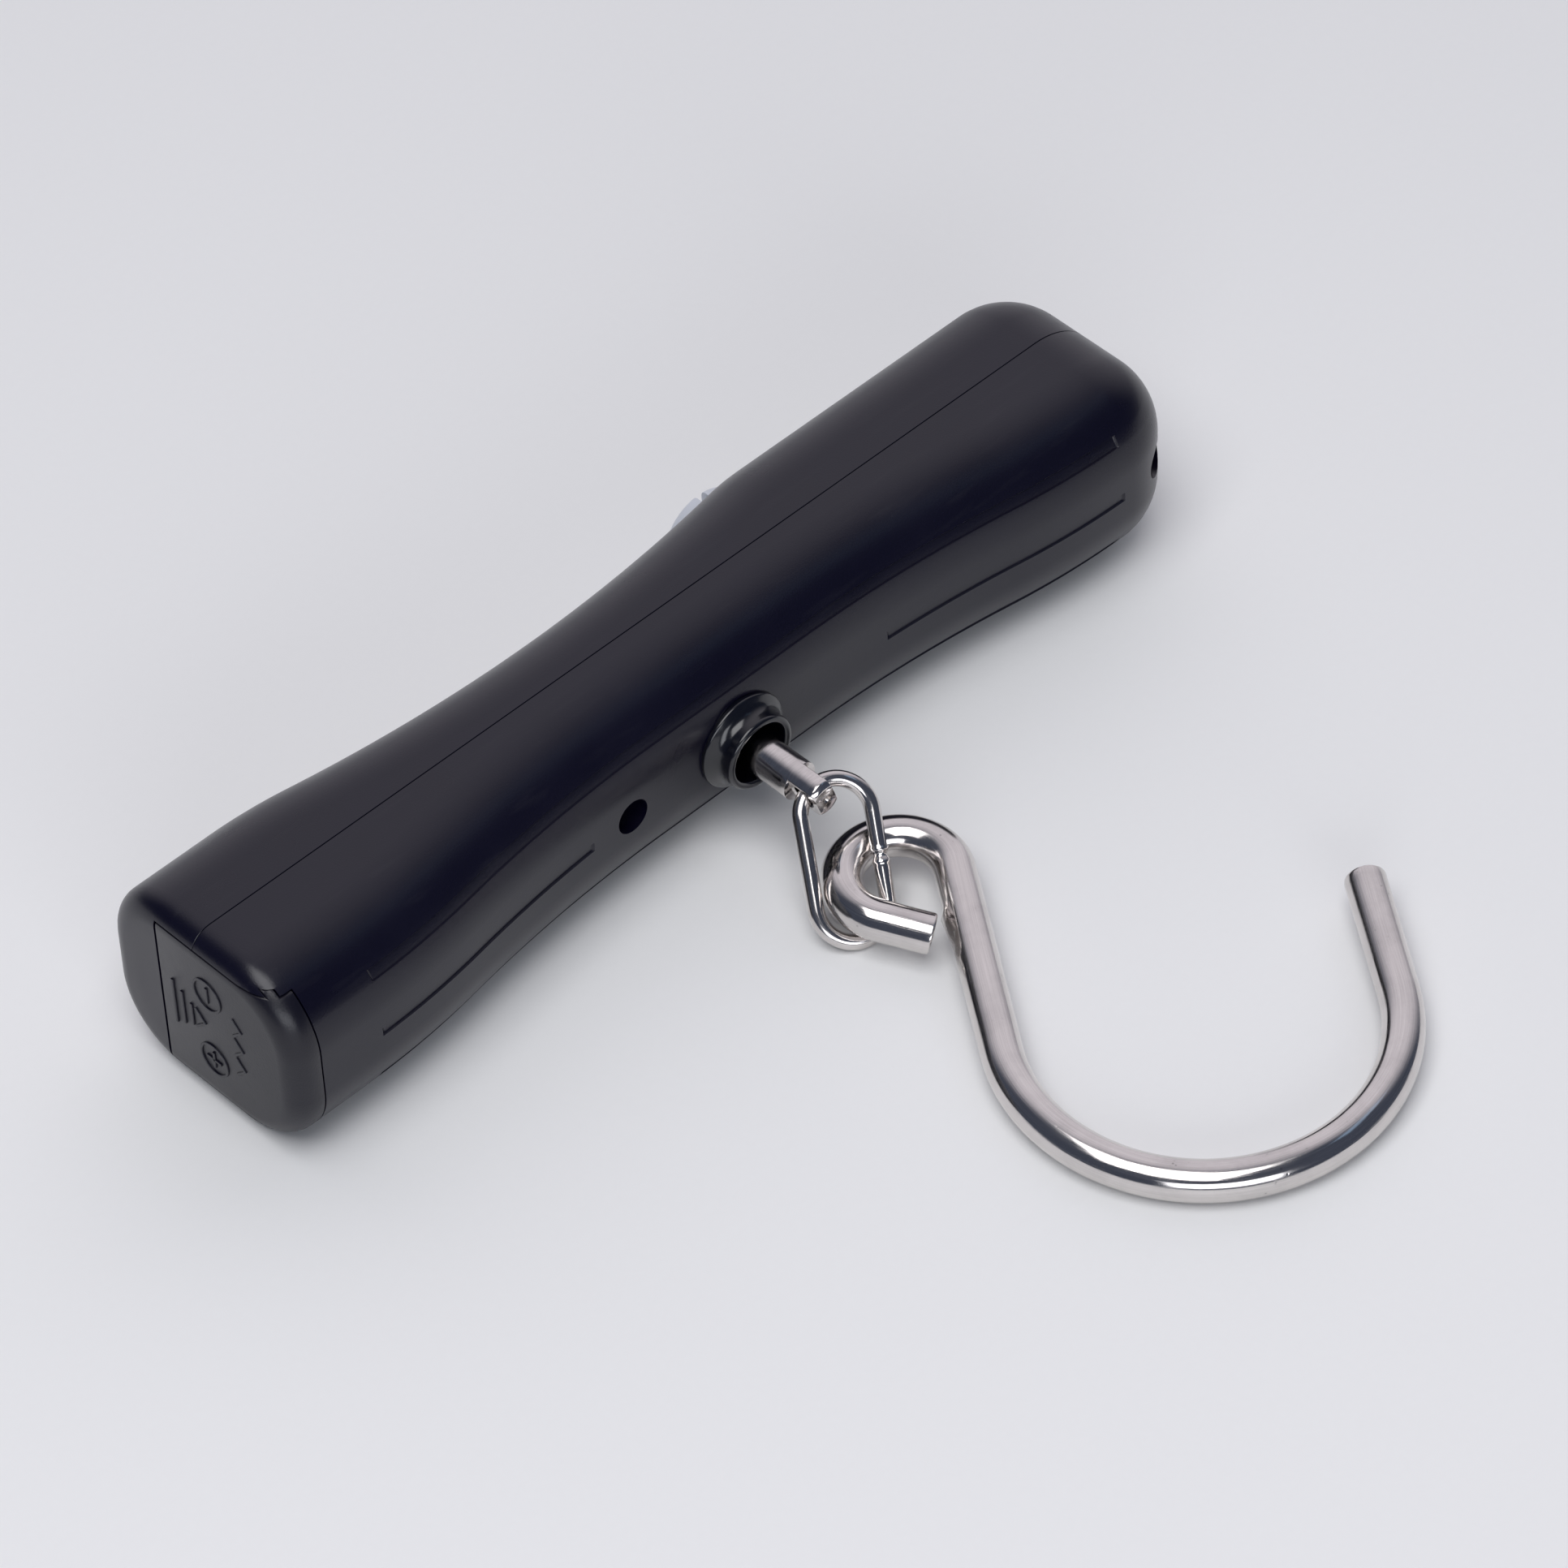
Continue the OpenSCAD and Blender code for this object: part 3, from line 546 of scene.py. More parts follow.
# ---------------------------------------------------------------- collar
# Bush of glossy black plastic pressed into the hook-side shell. It guards the mouth of the
# pull rod: a flange with a rounded edge, a smooth cove, and a rounded lip round the bore.
# Two ears inside the shell keep it from turning.
profile = [(4.1, -2.8), (4.2, -2.9), (5.9, -2.9), (6.0, -2.8), (6.0, -0.3), (6.1, -0.1), (6.22, 0.0)]
profile += arc(5.95, 0.32, 0.36, -40, 60, 8) + arc(6.55, 2.35, 1.65, 242, 182, 10)
profile += arc(4.47, 3.06, 0.49, -8, 170, 18) + [(3.99, 2.9), (4.05, 2.5), (4.1, 2.2)]
collar = lathe("collar", profile, (0, -10.3, MID_Z), (0, -1, 0), 160)
for x in (-7, 7):
    cut(collar, [box_cutter((x - 1, -8.2, MID_Z - 2.8), (x + 1, -7.4, MID_Z + 2.8))], "UNION")
tidy_mesh(collar)
soften(collar, 40)
collar_gloss = plastic(
    "collar_gloss", (0.002, 0.0025, 0.006), 0.22, 0.000004, 1800.0, Coat_Weight=0.35, Coat_Roughness=0.1)
dress(collar, collar_gloss)
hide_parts("collar_ring")
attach(collar, "housing")

# ---------------------------------------------------------------- battery door
# L-shaped door of the same black ABS. It covers the end face, wraps onto the hook side and
# slides off that way in two guide grooves. Its outer face carries moulded marks: a plus
# and a minus in rings, bars, and arrow heads that show the way it opens.
DOOR_Z0, DOOR_Z1, DOOR_T = 2.2, 24.2, 2.2
SIDE_Y, SIDE_HALF = -4.4, 3.2


def end_block(slices):
    """The rounded end of the handle as a closed block; each slice is (inset, x) in mm."""
    outline = [(12.0, THICK)] + arc(SIDE_Y, MID_Z + SIDE_HALF, EDGE, 90, 180, 19)
    outline += arc(SIDE_Y, MID_Z - SIDE_HALF, EDGE, 180, 270, 19) + [(12.0, 0.0)]
    points, count = [], len(outline)
    for inset, x in slices:
        for index, (y, z) in enumerate(outline):
            up = 1 if z > MID_Z else -1
            if index in (0, count - 1):
                points.append((x, y, z - up * inset))
            else:
                cz = MID_Z + up * SIDE_HALF
                away = Vector((y - SIDE_Y, z - cz)).normalized() * (EDGE - inset)
                points.append((x, SIDE_Y + away.x, cz + away.y))
    return mesh_object("end_block", points, capped_tube(len(slices), count))


def capped_tube(rows, cols):
    """Faces of a tube of points with a face over each end."""
    ends = [tuple(range(cols)), tuple(range((rows - 1) * cols, rows * cols))]
    return grid_faces(rows, cols, wrap_cols=True) + ends


def bevelled(obj, width, segments, degrees):
    """Applies a small bevel, in mm, along the sharp edges."""
    modifier = obj.modifiers.new("edges", "BEVEL")
    modifier.width, modifier.segments = width * MM, segments
    modifier.limit_method, modifier.angle_limit = "ANGLE", math.radians(degrees)
    applied(obj)


lip_x, back_x = BATTERY_X + 3.9, BATTERY_X + DOOR_T
ring = [(-74, 8.1), (-74, -16), (lip_x, -16), (lip_x, -4.6), (back_x, -4.6), (back_x, 8.1)]
door = mesh_object("prism", [(x, y, z) for z in (DOOR_Z0, DOOR_Z1) for x, y in ring], capped_tube(2, 6))
for z0, z1 in ((DOOR_Z0 - 0.68, DOOR_Z0 + 0.2), (DOOR_Z1 - 0.2, DOOR_Z1 + 0.68)):
    cut(door, [box_cutter((-71.25, -16, z0), (back_x, 7, z1))], "UNION")
rounds = [(END_R - y, BATTERY_X + END_R - x) for y, x in arc(0, 0, END_R, 90, 0, 13)]
cut(door, [end_block(rounds + [(0.0, BATTERY_X + 6)])], "INTERSECT")
cut(door, [end_block([(DOOR_T, back_x + 0.001), (DOOR_T, BATTERY_X + 7)])])
tidy_mesh(door)
bevelled(door, 0.18, 2, 50)


def heading(path, i, closed):
    """Direction of a path at one of its points."""
    before = path[i - 1] if closed or i else path[0]
    after = path[(i + 1) % len(path)] if closed or i < len(path) - 1 else path[-1]
    return (after - before).normalized()


def raised_stroke(path, width, height=0.17, closed=False):
    """A low raised stroke along a path of (y, z) on the end face, with sloped sides."""
    path = [Vector(p) for p in path]
    count = len(path)
    points = []
    for i, p in enumerate(path):
        along = heading(path, i, closed)
        side = Vector((-along.y, along.x))
        for offset, lift in ((-0.5, -0.1), (-0.5, 0.55), (-0.33, 1.0), (0.33, 1.0), (0.5, 0.55), (0.5, -0.1)):
            q = p + side * width * offset
            points.append((BATTERY_X - height * lift, q.x, q.y))
    faces = grid_faces(count, 6, wrap_cols=True, wrap_rows=True) if closed else capped_tube(count, 6)
    return mesh_object("stroke", points, faces)


def arrow_head(y, z, size):
    """Two strokes that meet in a point towards the display side."""
    reach = size * 0.7
    return raised_stroke([(y + reach, z - reach), (y, z), (y + reach, z + reach)], 0.4)


PLUS_Z, MINUS_Z = 7.85, 18.55
parts = [door]
for z in (MINUS_Z, PLUS_Z):
    parts.append(raised_stroke(arc(0, z, 2.22, 0, 360, 65)[:-1], 0.36, closed=True))
    parts.append(raised_stroke([(0, z - 1.2), (0, z + 1.2)], 0.42))
parts.append(raised_stroke([(-1.2, PLUS_Z), (1.2, PLUS_Z)], 0.42))
for y, half in ((6.1, 3.5), (4.6, 2.6), (3.1, 1.7)):
    parts.append(raised_stroke([(y, MID_Z - half), (y, MID_Z + half)], 0.42))
parts.append(arrow_head(0.9, MID_Z, 2.2))
parts += [arrow_head(-5.5, MID_Z + 3.2 * i, 2.0) for i in (-1, 0, 1)]


def join_parts(name, parts):
    """Joins finished meshes into one plain object."""
    bm = bmesh.new()
    for part in parts:
        bm.from_mesh(part.data)
        bpy.data.objects.remove(part)
    made = placed(name, bpy.data.meshes.new(name))
    bm.to_mesh(made.data)
    bm.free()
    return made


door = join_parts("door", parts)
soften(door, 35)
door_black = plastic("door_black", (0.003, 0.0027, 0.0085), 0.37, 0.000016, 4200.0)
dress(door, door_black)
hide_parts("battery_door")
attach(door, "door")

# ---------------------------------------------------------------- plated steel: rod, link and hook
# Steel wire and bar under a bright nickel plate. The hook is one bent round wire whose end
# closes the eye; the link is a lighter wire ring closed by a small butt weld; the rod is
# turned, with a tongue milled across its tip and a cross hole. All three keep fine drawn
# lines, and the plate is a little cloudy and pitted.


def build_plated():
    """Nickel plate: drawn lines along the wire, cloudy tarnish and small pits."""
    group, enter, leave = shader_group(
        "plated_surface", Color=(0.6, 0.59, 0.58), Roughness=0.2, Lines=0.000006, Dull=0.35)
    marks = node(group, "ShaderNodeAttribute", attribute_name="along")
    drawn = noise_of(group, marks.outputs["Vector"], 1.0, 5, 0.5)
    cloud = noise_of(group, enter["Vector"], 170, 5, 0.6)
    cells = node(group, "ShaderNodeTexVoronoi")
    cells.inputs["Scale"].default_value = 900
    group.links.new(enter["Vector"], cells.inputs["Vector"])
    pit = spread(group, cells.outputs["Distance"], 0.06, 0.16, 1.0, 0.0)
    pit = math_node(group, "MULTIPLY", pit, spread(group, cloud, 0.5, 0.62, 0.0, 1.0))
    dull = math_node(group, "MULTIPLY", spread(group, cloud, 0.42, 0.68, 0.0, 1.0), enter["Dull"])
    tint = blend(group, dull, enter["Color"], (0.36, 0.345, 0.34))
    tint = blend(group, math_node(group, "MULTIPLY", pit, 0.55), tint, (0.12, 0.11, 0.105))
    streaked = node(group, "ShaderNodeVectorMath", operation="SCALE")
    group.links.new(tint, streaked.inputs[0])
    group.links.new(spread(group, drawn, 0.35, 0.7, 0.9, 1.04), streaked.inputs["Scale"])
    group.links.new(streaked.outputs[0], leave["Color"])
    rough = math_node(group, "ADD", enter["Roughness"], math_node(group, "MULTIPLY", dull, 0.28))
    rough = math_node(group, "ADD", rough, spread(group, drawn, 0.35, 0.7, -0.03, 0.05))
    group.links.new(rough, leave["Roughness"])
    height = math_node(group, "MULTIPLY", drawn, enter["Lines"])
    height = math_node(group, "SUBTRACT", height, math_node(group, "MULTIPLY", pit, 0.00001))
    group.links.new(height, leave["Height"])
    return group


plated = build_plated()
plated_steel = group_material("plated_steel", plated, {
    "Color": (0.74, 0.705, 0.685), "Roughness": 0.11, "Lines": 0.000006, "Dull": 0.25}, Metallic=1.0)
cut_steel = group_material("cut_steel", plated, {
    "Color": (0.6, 0.58, 0.57), "Roughness": 0.36, "Lines": 0.00003, "Dull": 0.5}, Metallic=1.0)


def vector_layer(mesh, name, vectors):
    """Stores a vector for each point of a mesh."""
    layer = mesh.attributes.new(name, "FLOAT_VECTOR", "POINT")
    layer.data.foreach_set("vector", [number for vector in vectors for number in vector])


def wire_mesh(name, path, radii, sides, closed, matrix, lines):
    """A wire swept along a path in mm, with its own coordinates for the drawn lines."""
    path = [Vector(p) for p in path]
    up = Vector((0, 0, 1))
    points, along, travelled = [], [], 0.0
    for i, p in enumerate(path):
        side = heading(path, i, closed).cross(up).normalized()
        if i:
            travelled += (p - path[i - 1]).length
        for j in range(sides):
            c, s = math.cos(2 * math.pi * j / sides), math.sin(2 * math.pi * j / sides)
            points.append(tuple((matrix @ (p + (side * c + up * s) * radii[i])) * MM))
            along.append((travelled / lines[0], lines[1] * c * radii[i] / 10, lines[1] * s * radii[i] / 10))
    count = len(path)
    faces = grid_faces(count, sides, wrap_cols=True, wrap_rows=True) if closed else capped_tube(count, sides)
    mesh = bpy.data.meshes.new(name)
    mesh.from_pydata(points, [], faces)
    vector_layer(mesh, "along", along)
    made = placed(name, mesh)
    tidy_mesh(made)
    made.data.materials.append(plated_steel)
    made.data.materials.append(cut_steel)
    for face in made.data.polygons:
        if len(face.vertices) > 8:
            face.material_index = 1
    return made


def flat_arc(*shape):
    """Points of an arc, in the plane of a wire."""
    return [(x, y, 0) for x, y in arc(*shape)]


def line_points(a, b, steps):
    """Points between two, without the first."""
    a, b = Vector(a), Vector(b)
    return [tuple(a + (b - a) * t) for t in np.linspace(0, 1, steps + 1)[1:]]


def rounded_ends(path, radius, first, last):
    """Path and radii of a wire whose two cut ends are rounded off over a short length."""
    pts = [Vector(p) for p in path]
    start, stop = (pts[1] - pts[0]).normalized(), (pts[-1] - pts[-2]).normalized()
    kept = [p for p in pts if (p - pts[0]).length > first * 1.2 and (p - pts[-1]).length > last * 1.2]
    turns = [(math.sin(a), math.cos(a)) for a in map(math.radians, (90, 60, 30, 0))]
    found = [(pts[0] + start * first * (1 - s), radius - first * (1 - c)) for s, c in turns]
    found += [(p, radius) for p in kept]
    found += [(pts[-1] - stop * last * (1 - s), radius - last * (1 - c)) for s, c in reversed(turns)]
    return [p for p, _ in found], [r for _, r in found]


def turned(degrees, axis):
    """A turn about one axis."""
    return Matrix.Rotation(math.radians(degrees), 4, axis)


WIRE_R, EYE_R, EYE_TURN, TAIL, SHANK, BEND_R, TIP_Y = 2.5, 6.6, 240, 6.4, 27.6, 22.9, -10.4
EYE = (2.4, -33.6, 4.9)
tilt = math.asin((EYE[2] - WIRE_R) / (SHANK + BEND_R))
hook_place = Matrix.Translation(EYE) @ turned(-34, "Z") @ Matrix.Rotation(tilt, 4, "X")
end_a = math.radians(EYE_TURN)
end_point = Vector((EYE_R * math.cos(end_a), EYE_R * math.sin(end_a), 0))
tail_dir = Vector((-math.sin(end_a), math.cos(end_a), 0))
tail = end_point + tail_dir * TAIL
tip_x = EYE_R + 2 * BEND_R
path = [tuple(tail)] + line_points(tail, end_point, 8) + flat_arc(0, 0, EYE_R, EYE_TURN, 0, 72)[1:]
path += line_points((EYE_R, 0, 0), (EYE_R, -SHANK, 0), 20)
path += flat_arc(EYE_R + BEND_R, -SHANK, BEND_R, 180, 360, 110)[1:]
path += line_points((tip_x, -SHANK, 0), (tip_x, TIP_Y, 0), 14)
path, radii = rounded_ends(path, WIRE_R, 0.35, 0.5)
radii = [r - 0.02 if i < 9 else r for i, r in enumerate(radii)]
hook_wire = wire_mesh("hook_wire", path, radii, 72, False, hook_place, (9.0, 90.0))
# The cut that ends the eye is slanted, so its points are moved along the wire
tail_end = hook_place @ tail
tail_way = (hook_place.to_3x3() @ tail_dir).normalized()
lean = Vector((-0.463, -0.514, 0.722))
lean = (lean - tail_way * lean.dot(tail_way)).normalized()
for vertex in hook_wire.data.vertices:
    near = vertex.co / MM - tail_end
    if near.length < 3.2 and near.dot(tail_way) > -1.3:
        share = min(1.0, (near.dot(tail_way) + 1.3) / 0.8)
        vertex.co += tail_way * near.dot(lean) * 0.28 * MM * share
soften(hook_wire, 40)
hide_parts("hook")
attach(hook_wire, "hook")

LINK_R, LINK_SIDE, ROD_TURN, CROSS_HOLE_Y = 4.3, 10.4, -17.5, -21.9
link_place = (
    Matrix.Translation((0, CROSS_HOLE_Y, MID_Z)) @ turned(ROD_TURN, "Y") @ turned(38.4, "X")
    @ Matrix.Translation((0, -LINK_R, 0)) @ turned(-36.2, "Z"))
path = flat_arc(0, 0, LINK_R, 0, 180, 40) + line_points((-LINK_R, 0, 0), (-LINK_R, -LINK_SIDE, 0), 16)
path += flat_arc(0, -LINK_SIDE, LINK_R, 180, 360, 40)[1:]
path += line_points((LINK_R, -LINK_SIDE, 0), (LINK_R, 0, 0), 72)[:-1]
radii = []
for x, y, z in path:
    r = 0.98
    if x > LINK_R - 0.1:
        r -= 0.2 * math.exp(-((y + 5.3) / 0.35) ** 2)
        r += 0.1 * math.exp(-((y + 4.6) / 0.22) ** 2) + 0.08 * math.exp(-((y + 6.1) / 0.25) ** 2)
    radii.append(r)
link_ring = wire_mesh("link_ring", path, radii, 40, True, link_place, (7.0, 150.0))
soften(link_ring, 40)
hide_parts("link")
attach(link_ring, "link")

profile = [(0.0, -24.2), (0.1, -24.22), (0.36, -24.5), (1.84, -24.5), (1.96, -24.46), (2.46, -23.96)]
profile += [(2.5, -23.84)] + [(2.5, y) for y in np.linspace(-23.5, 8.0, 30)] + [(2.3, 8.4), (0.0, 8.4)]
rod = lathe("rod", profile, (0, 0, 0), (0, 1, 0), 96, closed=False)
cut(rod, [box_cutter((1.35, -26, -5), (6, -20.1, 5)), box_cutter((-6, -26, -5), (-1.35, -20.1, 5))])
hole = [(0, -6), (1.72, -6), (1.72, -1.36), (1.5, -1.14), (1.5, 1.14), (1.72, 1.36), (1.72, 6), (0, 6)]
cut(rod, [lathe("cutter", hole, (0, CROSS_HOLE_Y, 0), (1, 0, 0), 64, closed=False)])
tidy_mesh(rod)
bevelled(rod, 0.12, 2, 55)
spots = [vertex.co / MM for vertex in rod.data.vertices]
vector_layer(rod.data, "along", [(p.x * 0.6, p.y * 7.0, p.z * 0.6) for p in spots])
rod.data.transform(Matrix.Translation((0, 0, MID_Z * MM)) @ turned(ROD_TURN, "Y"))
dress(rod, plated_steel)
soften(rod, 35)
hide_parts("pull_rod")
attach(rod, "rod")

# ---------------------------------------------------------------- keys
# Two halves of one light grey disc, each a separate plastic key with a rounded edge and a
# foot that keeps it in the shell. They stand a little proud of the well and are pressed
# straight in.


def key_mesh(name, sign):
    """Half of the disc, its edges rounded, with its foot."""
    side = [(0, 12.6), (6.0, 12.6), (6.0, 17.4)] + arc(5.2, 17.4, 0.8, 15, 90, 6) + [(3, 18.2), (0, 18.2)]
    disc = lathe(name, side, (KEYS_X, 0, MID_Z), (0, 1, 0), 128, closed=False)
    cut(disc, [box_cutter((13.0, 12.6, 10.5), (28.2, 13.3, 15.9))], "UNION")
    other_half = (KEYS_X - 0.6, 40) if sign < 0 else (0, KEYS_X + 0.6)
    cut(disc, [box_cutter((other_half[0], 5, 0), (other_half[1], 30, 26))])
    tidy_mesh(disc)
    bevelled(disc, 0.3, 3, 55)
    soften(disc, 40)
    return disc


key_grey = plastic("key_grey", (0.56, 0.59, 0.64), 0.45, 0.00001, 3000.0)
for name, sign in (("tare_key", -1), ("unit_key", 1)):
    key = key_mesh(name + "_cap", sign)
    dress(key, key_grey)
    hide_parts(name)
    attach(key, name)

# ---------------------------------------------------------------- display lens and LCD panel
# A clear acrylic lens is set in the window, and behind it stands a reflective LCD panel
# with four figures. The segments are a darker film in the panel's glass.
lens_clear, tree, shader, vector = new_material("lens_clear", Transmission_Weight=1.0, IOR=1.49)
haze = noise_of(tree, vector, 400, 6)
tree.links.new(spread(tree, haze, 0.45, 0.75, 0.02, 0.16), shader.inputs["Roughness"])
hazy = spread(tree, haze, 0.3, 0.7, 0.0, 1.0)
tree.links.new(blend(tree, hazy, (0.93, 0.95, 0.95), (0.98, 0.985, 0.98)), shader.inputs["Base Color"])
dress(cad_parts["display_lens"], lens_clear)

lcd_glass, tree, shader, vector = new_material("lcd_glass")
grain = noise_of(tree, vector, 2500, 3)
tree.links.new(blend(tree, grain, (0.30, 0.36, 0.28), (0.36, 0.42, 0.33)), shader.inputs["Base Color"])
tree.links.new(spread(tree, grain, 0.3, 0.7, 0.2, 0.3), shader.inputs["Roughness"])
dress(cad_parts["lcd_panel"], lcd_glass)

def node_part(name, places, turns, build, material, **numbers):
    """A plain mesh that a node tree with named inputs makes from points in mm, each with a turn."""
    tree = bpy.data.node_groups.new(name, "GeometryNodeTree")
    tree.interface.new_socket("Geometry", in_out="INPUT", socket_type="NodeSocketGeometry")
    for label in numbers:
        tree.interface.new_socket(label, in_out="INPUT", socket_type="NodeSocketFloat")
    tree.interface.new_socket("Material", in_out="INPUT", socket_type="NodeSocketMaterial")
    tree.interface.new_socket("Geometry", in_out="OUTPUT", socket_type="NodeSocketGeometry")
    enter, leave = node(tree, "NodeGroupInput").outputs, node(tree, "NodeGroupOutput").inputs
    real, paint = node(tree, "GeometryNodeRealizeInstances"), node(tree, "GeometryNodeSetMaterial")
    tree.links.new(build(tree, enter), real.inputs["Geometry"])
    tree.links.new(real.outputs["Geometry"], paint.inputs["Geometry"])
    tree.links.new(enter["Material"], paint.inputs["Material"])
    tree.links.new(paint.outputs["Geometry"], leave["Geometry"])
    mesh = bpy.data.meshes.new(name)
    mesh.from_pydata([tuple(Vector(p) * MM) for p in places], [], [])
    vector_layer(mesh, "turn", turns)
    made = placed(name, mesh)
    modifier = made.modifiers.new("nodes", "NODES")
    modifier.node_group = tree
    values = dict(numbers, Material=material)
    for item in tree.interface.items_tree:
        if item.in_out == "INPUT" and item.name in values:
            modifier[item.identifier] = values[item.name]
    return applied(made)


def segment_bars(tree, enter):
    """A thin bar on every point, turned as the point says."""
    size = node(tree, "ShaderNodeCombineXYZ")
    tree.links.new(enter["Length"], size.inputs["X"])
    size.inputs["Y"].default_value = 0.00004
    tree.links.new(enter["Width"], size.inputs["Z"])
    bar = node(tree, "GeometryNodeMeshCube")
    tree.links.new(size.outputs[0], bar.inputs["Size"])
    turn = node(tree, "GeometryNodeInputNamedAttribute", data_type="FLOAT_VECTOR")
    turn.inputs["Name"].default_value = "turn"
    copies = node(tree, "GeometryNodeInstanceOnPoints")
    tree.links.new(enter["Geometry"], copies.inputs["Points"])
    tree.links.new(bar.outputs["Mesh"], copies.inputs["Instance"])
    tree.links.new(turn.outputs["Attribute"], copies.inputs["Rotation"])
    return copies.outputs["Instances"]


segment_film = plastic("segment_film", (0.02, 0.022, 0.02), 0.35, 0.000002, 6000.0)
SHAPES = {"0": "abcdef", "2": "abged", "5": "afgcd"}
OFFSETS = {
    "a": (0, 3.3, 0), "b": (1.75, 1.65, 1), "c": (1.75, -1.65, 1), "d": (0, -3.3, 0),
    "e": (-1.75, -1.65, 1), "f": (-1.75, 1.65, 1), "g": (0, 0, 0)}
FILM_Y, FIRST_X, PITCH = 14.205, 53.5, 5.6
places, turns = [], []
for index, figure in enumerate("0250"):
    for letter in SHAPES[figure]:
        dx, dz, upright = OFFSETS[letter]
        places.append((FIRST_X - index * PITCH - dx, FILM_Y, MID_Z + dz))
        turns.append((0, math.pi / 2 if upright else 0, 0))
places.append((43.3, FILM_Y, MID_Z - 3.3))
turns.append((0, 0, 0))
segments = node_part("lcd_segments", places, turns, segment_bars, segment_film, Length=0.0026, Width=0.0006)
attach(segments, "housing")

# ---------------------------------------------------------------- coil spring of the cell chamber
# Conical spring of nickel-plated wire on a square plate. The plate is pushed into the
# chamber's inner wall and the small end of the coil presses on the lower cell.


def conical_coil(tree, enter):
    """A conical coil with a round wire section."""
    coil = node(tree, "GeometryNodeCurveSpiral")
    coil.inputs["Resolution"].default_value = 40
    sockets = {"Turns": "Rotations", "Start": "Start Radius", "End": "End Radius", "Rise": "Height"}
    for label, socket in sockets.items():
        tree.links.new(enter[label], coil.inputs[socket])
    ring = node(tree, "GeometryNodeCurvePrimitiveCircle")
    ring.inputs["Resolution"].default_value = 14
    tree.links.new(enter["Wire"], ring.inputs["Radius"])
    tube = node(tree, "GeometryNodeCurveToMesh")
    tree.links.new(coil.outputs["Curve"], tube.inputs["Curve"])
    tree.links.new(ring.outputs["Curve"], tube.inputs["Profile Curve"])
    tube.inputs["Fill Caps"].default_value = True
    return tube.outputs["Mesh"]


coil = node_part(
    "coil", [(0, 0, 0)], [(0, 0, 0)], conical_coil, None,
    Turns=3.6, Start=0.0029, End=0.0018, Rise=0.00098, Wire=0.00024)
coil.data.transform(Matrix.Translation((-0.02332, 0, PLUS_Z * MM)) @ turned(-90, "Y"))
plate = box_cutter((-23.2, -3.4, 4.45), (-22.8, 3.4, 11.25))
bevelled(plate, 0.1, 2, 40)
spring = join_parts("spring", [coil, plate])
tidy_mesh(spring)
soften(spring, 40)

# ---------------------------------------------------------------- inner pieces kept from the frame
# Cells in printed sleeves, sheet contacts of nickel-plated spring brass, the aluminium
# load cell with its foil gauges, steel screws, washer, nut and clip, the glass-fibre board
# and its parts. They are screwed or clipped inside the shells and keep the frame's shape.


def build_worked():
    """Sheet or machined metal and board: brushed lines one way, blotches and dust."""
    group, enter, leave = shader_group(
        "worked_surface", Color=(0.6, 0.6, 0.6), Shade=(0.4, 0.4, 0.4), Roughness=0.35, Lines=0.00001)
    lines = noise_of(group, stretched(group, enter["Vector"], (120, 3000, 3000)), 1.0, 3)
    cloud = noise_of(group, enter["Vector"], 250, 5)
    blotch = spread(group, cloud, 0.35, 0.7, 0.0, 1.0)
    group.links.new(blend(group, blotch, enter["Color"], enter["Shade"]), leave["Color"])
    rough = math_node(group, "ADD", enter["Roughness"], spread(group, lines, 0.3, 0.7, -0.06, 0.08))
    rough = math_node(group, "ADD", rough, spread(group, cloud, 0.3, 0.7, -0.03, 0.06))
    group.links.new(rough, leave["Roughness"])
    group.links.new(math_node(group, "MULTIPLY", lines, enter["Lines"]), leave["Height"])
    return group


def steel_ends(tree, shader, vector, colour):
    """Bare steel on the two ends of a cell, outside its printed sleeve."""
    split = node(tree, "ShaderNodeSeparateXYZ")
    tree.links.new(vector, split.inputs[0])
    cell_middle, sleeve_half = -0.04695, 0.0211
    from_middle = math_node(tree, "ABSOLUTE", math_node(tree, "SUBTRACT", split.outputs["X"], cell_middle))
    bare = math_node(tree, "GREATER_THAN", from_middle, sleeve_half)
    tree.links.new(blend(tree, bare, colour, (0.62, 0.61, 0.6)), shader.inputs["Base Color"])


# Name, nodes, colour, shade of the blotches, roughness and metallic
worked = build_worked()
STEEL = ("load_cell_screws", "rod_clip", "board_screws", "shell_screws", "anchor_plate", "rod_nut")
INNER = [
    ("contact_nickel", ("door_contact", "positive_contact"), (0.66, 0.64, 0.58), (0.5, 0.47, 0.4), 0.3, 1.0),
    ("beam_aluminium", ("load_cell",), (0.72, 0.73, 0.74), (0.58, 0.59, 0.6), 0.38, 1.0),
    ("gauge_foil", ("strain_gauges",), (0.55, 0.27, 0.07), (0.42, 0.2, 0.06), 0.4, 0.0),
    ("plain_steel", STEEL, (0.5, 0.5, 0.51), (0.33, 0.33, 0.34), 0.34, 1.0),
    ("washer_brass", ("thrust_washer",), (0.62, 0.47, 0.2), (0.45, 0.34, 0.15), 0.33, 1.0),
    ("board_green", ("circuit_board",), (0.02, 0.13, 0.06), (0.015, 0.1, 0.05), 0.35, 0.0),
    ("chip_black", ("controller_chip", "lcd_connector"), (0.02, 0.02, 0.022), (0.03, 0.03, 0.032), 0.5, 0.0),
    ("rubber_grey", ("key_mat",), (0.1, 0.1, 0.11), (0.13, 0.13, 0.14), 0.7, 0.0),
    ("bulkhead_black", ("battery_bulkhead",), (0.035, 0.034, 0.04), (0.045, 0.044, 0.05), 0.5, 0.0),
    ("cell_jacket", ("battery_upper", "battery_lower"), (0.5, 0.27, 0.07), (0.42, 0.21, 0.05), 0.28, 0.6),
]
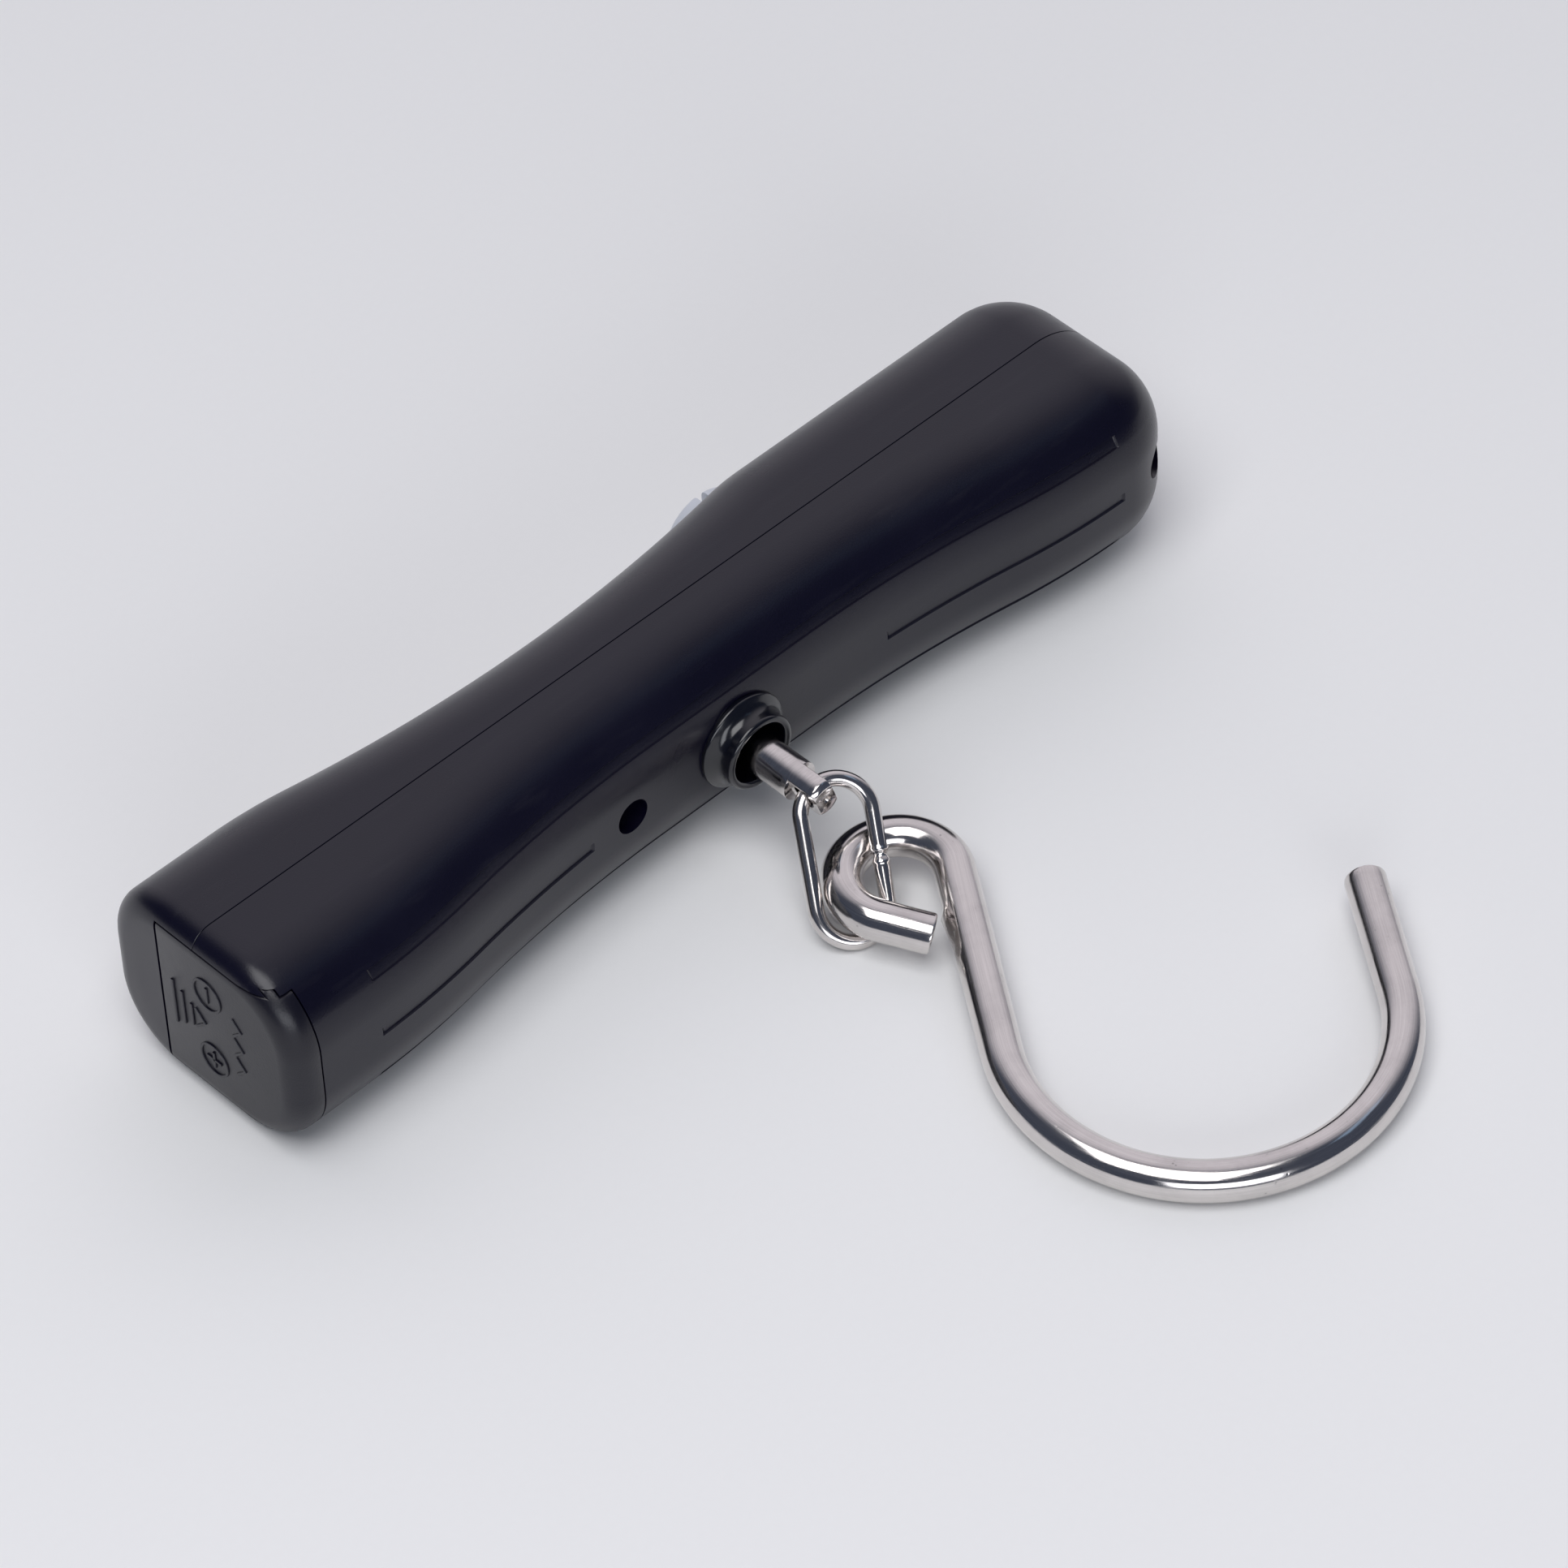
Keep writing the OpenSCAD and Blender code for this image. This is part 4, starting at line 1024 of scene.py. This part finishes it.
for slot_name, names, colour, shade, rough, metal in INNER:
    values = {"Color": colour, "Shade": shade, "Roughness": rough, "Lines": 0.000012}
    ends = steel_ends if slot_name == "cell_jacket" else None
    made = group_material(slot_name, worked, values, ends, Metallic=metal)
    for name in names:
        dress(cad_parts[name], made)
    if slot_name == "contact_nickel":
        dress(spring, made)
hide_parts("negative_spring")
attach(spring, "housing")

# ---------------------------------------------------------------- floor, light and camera
# Not part of the object: a pale matt table, a large soft light overhead, a lower one in
# front, a small cool one that gives the sheen on the top, and a room brighter on one side.
floor_mesh = bpy.data.meshes.new("floor")
floor_mesh.from_pydata([(-3, -3, 0), (3, -3, 0), (3, 3, 0), (-3, 3, 0)], [], [(0, 1, 2, 3)])
floor = placed("floor", floor_mesh)
paper, tree, shader, vector = new_material("paper", Roughness=0.7)
fibre = noise_of(tree, vector, 900, 3)
tree.links.new(blend(tree, fibre, (0.865, 0.868, 0.862), (0.88, 0.883, 0.877)), shader.inputs["Base Color"])
floor.data.materials.append(paper)

world = bpy.data.worlds.new("room")
world.use_nodes = True
tree = world.node_tree
facing = node(tree, "ShaderNodeVectorMath", operation="DOT_PRODUCT")
tree.links.new(node(tree, "ShaderNodeTexCoord").outputs["Generated"], facing.inputs[0])
facing.inputs[1].default_value = (0.60, 0.62, 0.50)
lit = node(tree, "ShaderNodeMapRange", interpolation_type="SMOOTHSTEP")
tree.links.new(facing.outputs["Value"], lit.inputs["Value"])
lit.inputs["From Min"].default_value, lit.inputs["From Max"].default_value = 0.42, 0.93
shade = blend(tree, lit.outputs["Result"], (0.06, 0.07, 0.1), (0.74, 0.71, 0.77))
tree.links.new(shade, tree.nodes["Background"].inputs["Color"])
bpy.context.scene.world = world
bpy.context.scene.view_settings.view_transform = "Standard"


def softbox(name, place, size, radiance, colour):
    """A rectangular light of a given brightness, pointed at the origin."""
    data = bpy.data.lights.new(name, "AREA")
    data.shape, data.size, data.size_y, data.color = "RECTANGLE", size[0], size[1], colour
    data.energy = radiance * math.pi * size[0] * size[1]
    made = placed(name, data)
    made.location = place
    made.rotation_mode = "QUATERNION"
    made.rotation_quaternion = (-Vector(place)).to_track_quat("-Z", "Y")


softbox("overhead", (-0.4, -0.2, 1.3), (1.0, 1.0), 3.75, (0.99, 0.985, 1.0))
softbox("front_fill", (-0.75, -1.15, 0.5), (1.2, 0.5), 3.3, (0.93, 0.95, 1.0))
softbox("top_glow", (0.69, -0.55, 1.2), (0.5, 0.2), 0.4, (0.5, 0.72, 1.0))

yaw, pitch, roll = math.radians(42.032), math.radians(46.219), math.radians(-2.887)
look = Vector((math.sin(yaw) * math.cos(pitch), math.cos(yaw) * math.cos(pitch), -math.sin(pitch)))
right = look.cross(Vector((0, 0, 1))).normalized()
up = right.cross(look)
right, up = (
    right * math.cos(roll) + up * math.sin(roll), up * math.cos(roll) - right * math.sin(roll))
camera_data = bpy.data.cameras.new("camera")
camera_data.sensor_width = 36
camera_data.lens = 9843.2 / 1932 * 36
camera_data.clip_start, camera_data.clip_end = 0.05, 10
camera = placed("camera", camera_data)
camera.matrix_world = Matrix((right, up, -look)).transposed().to_4x4()
camera.location = Vector((0.006887, -0.00973, 0)) - look * 0.9363
bpy.context.scene.camera = camera
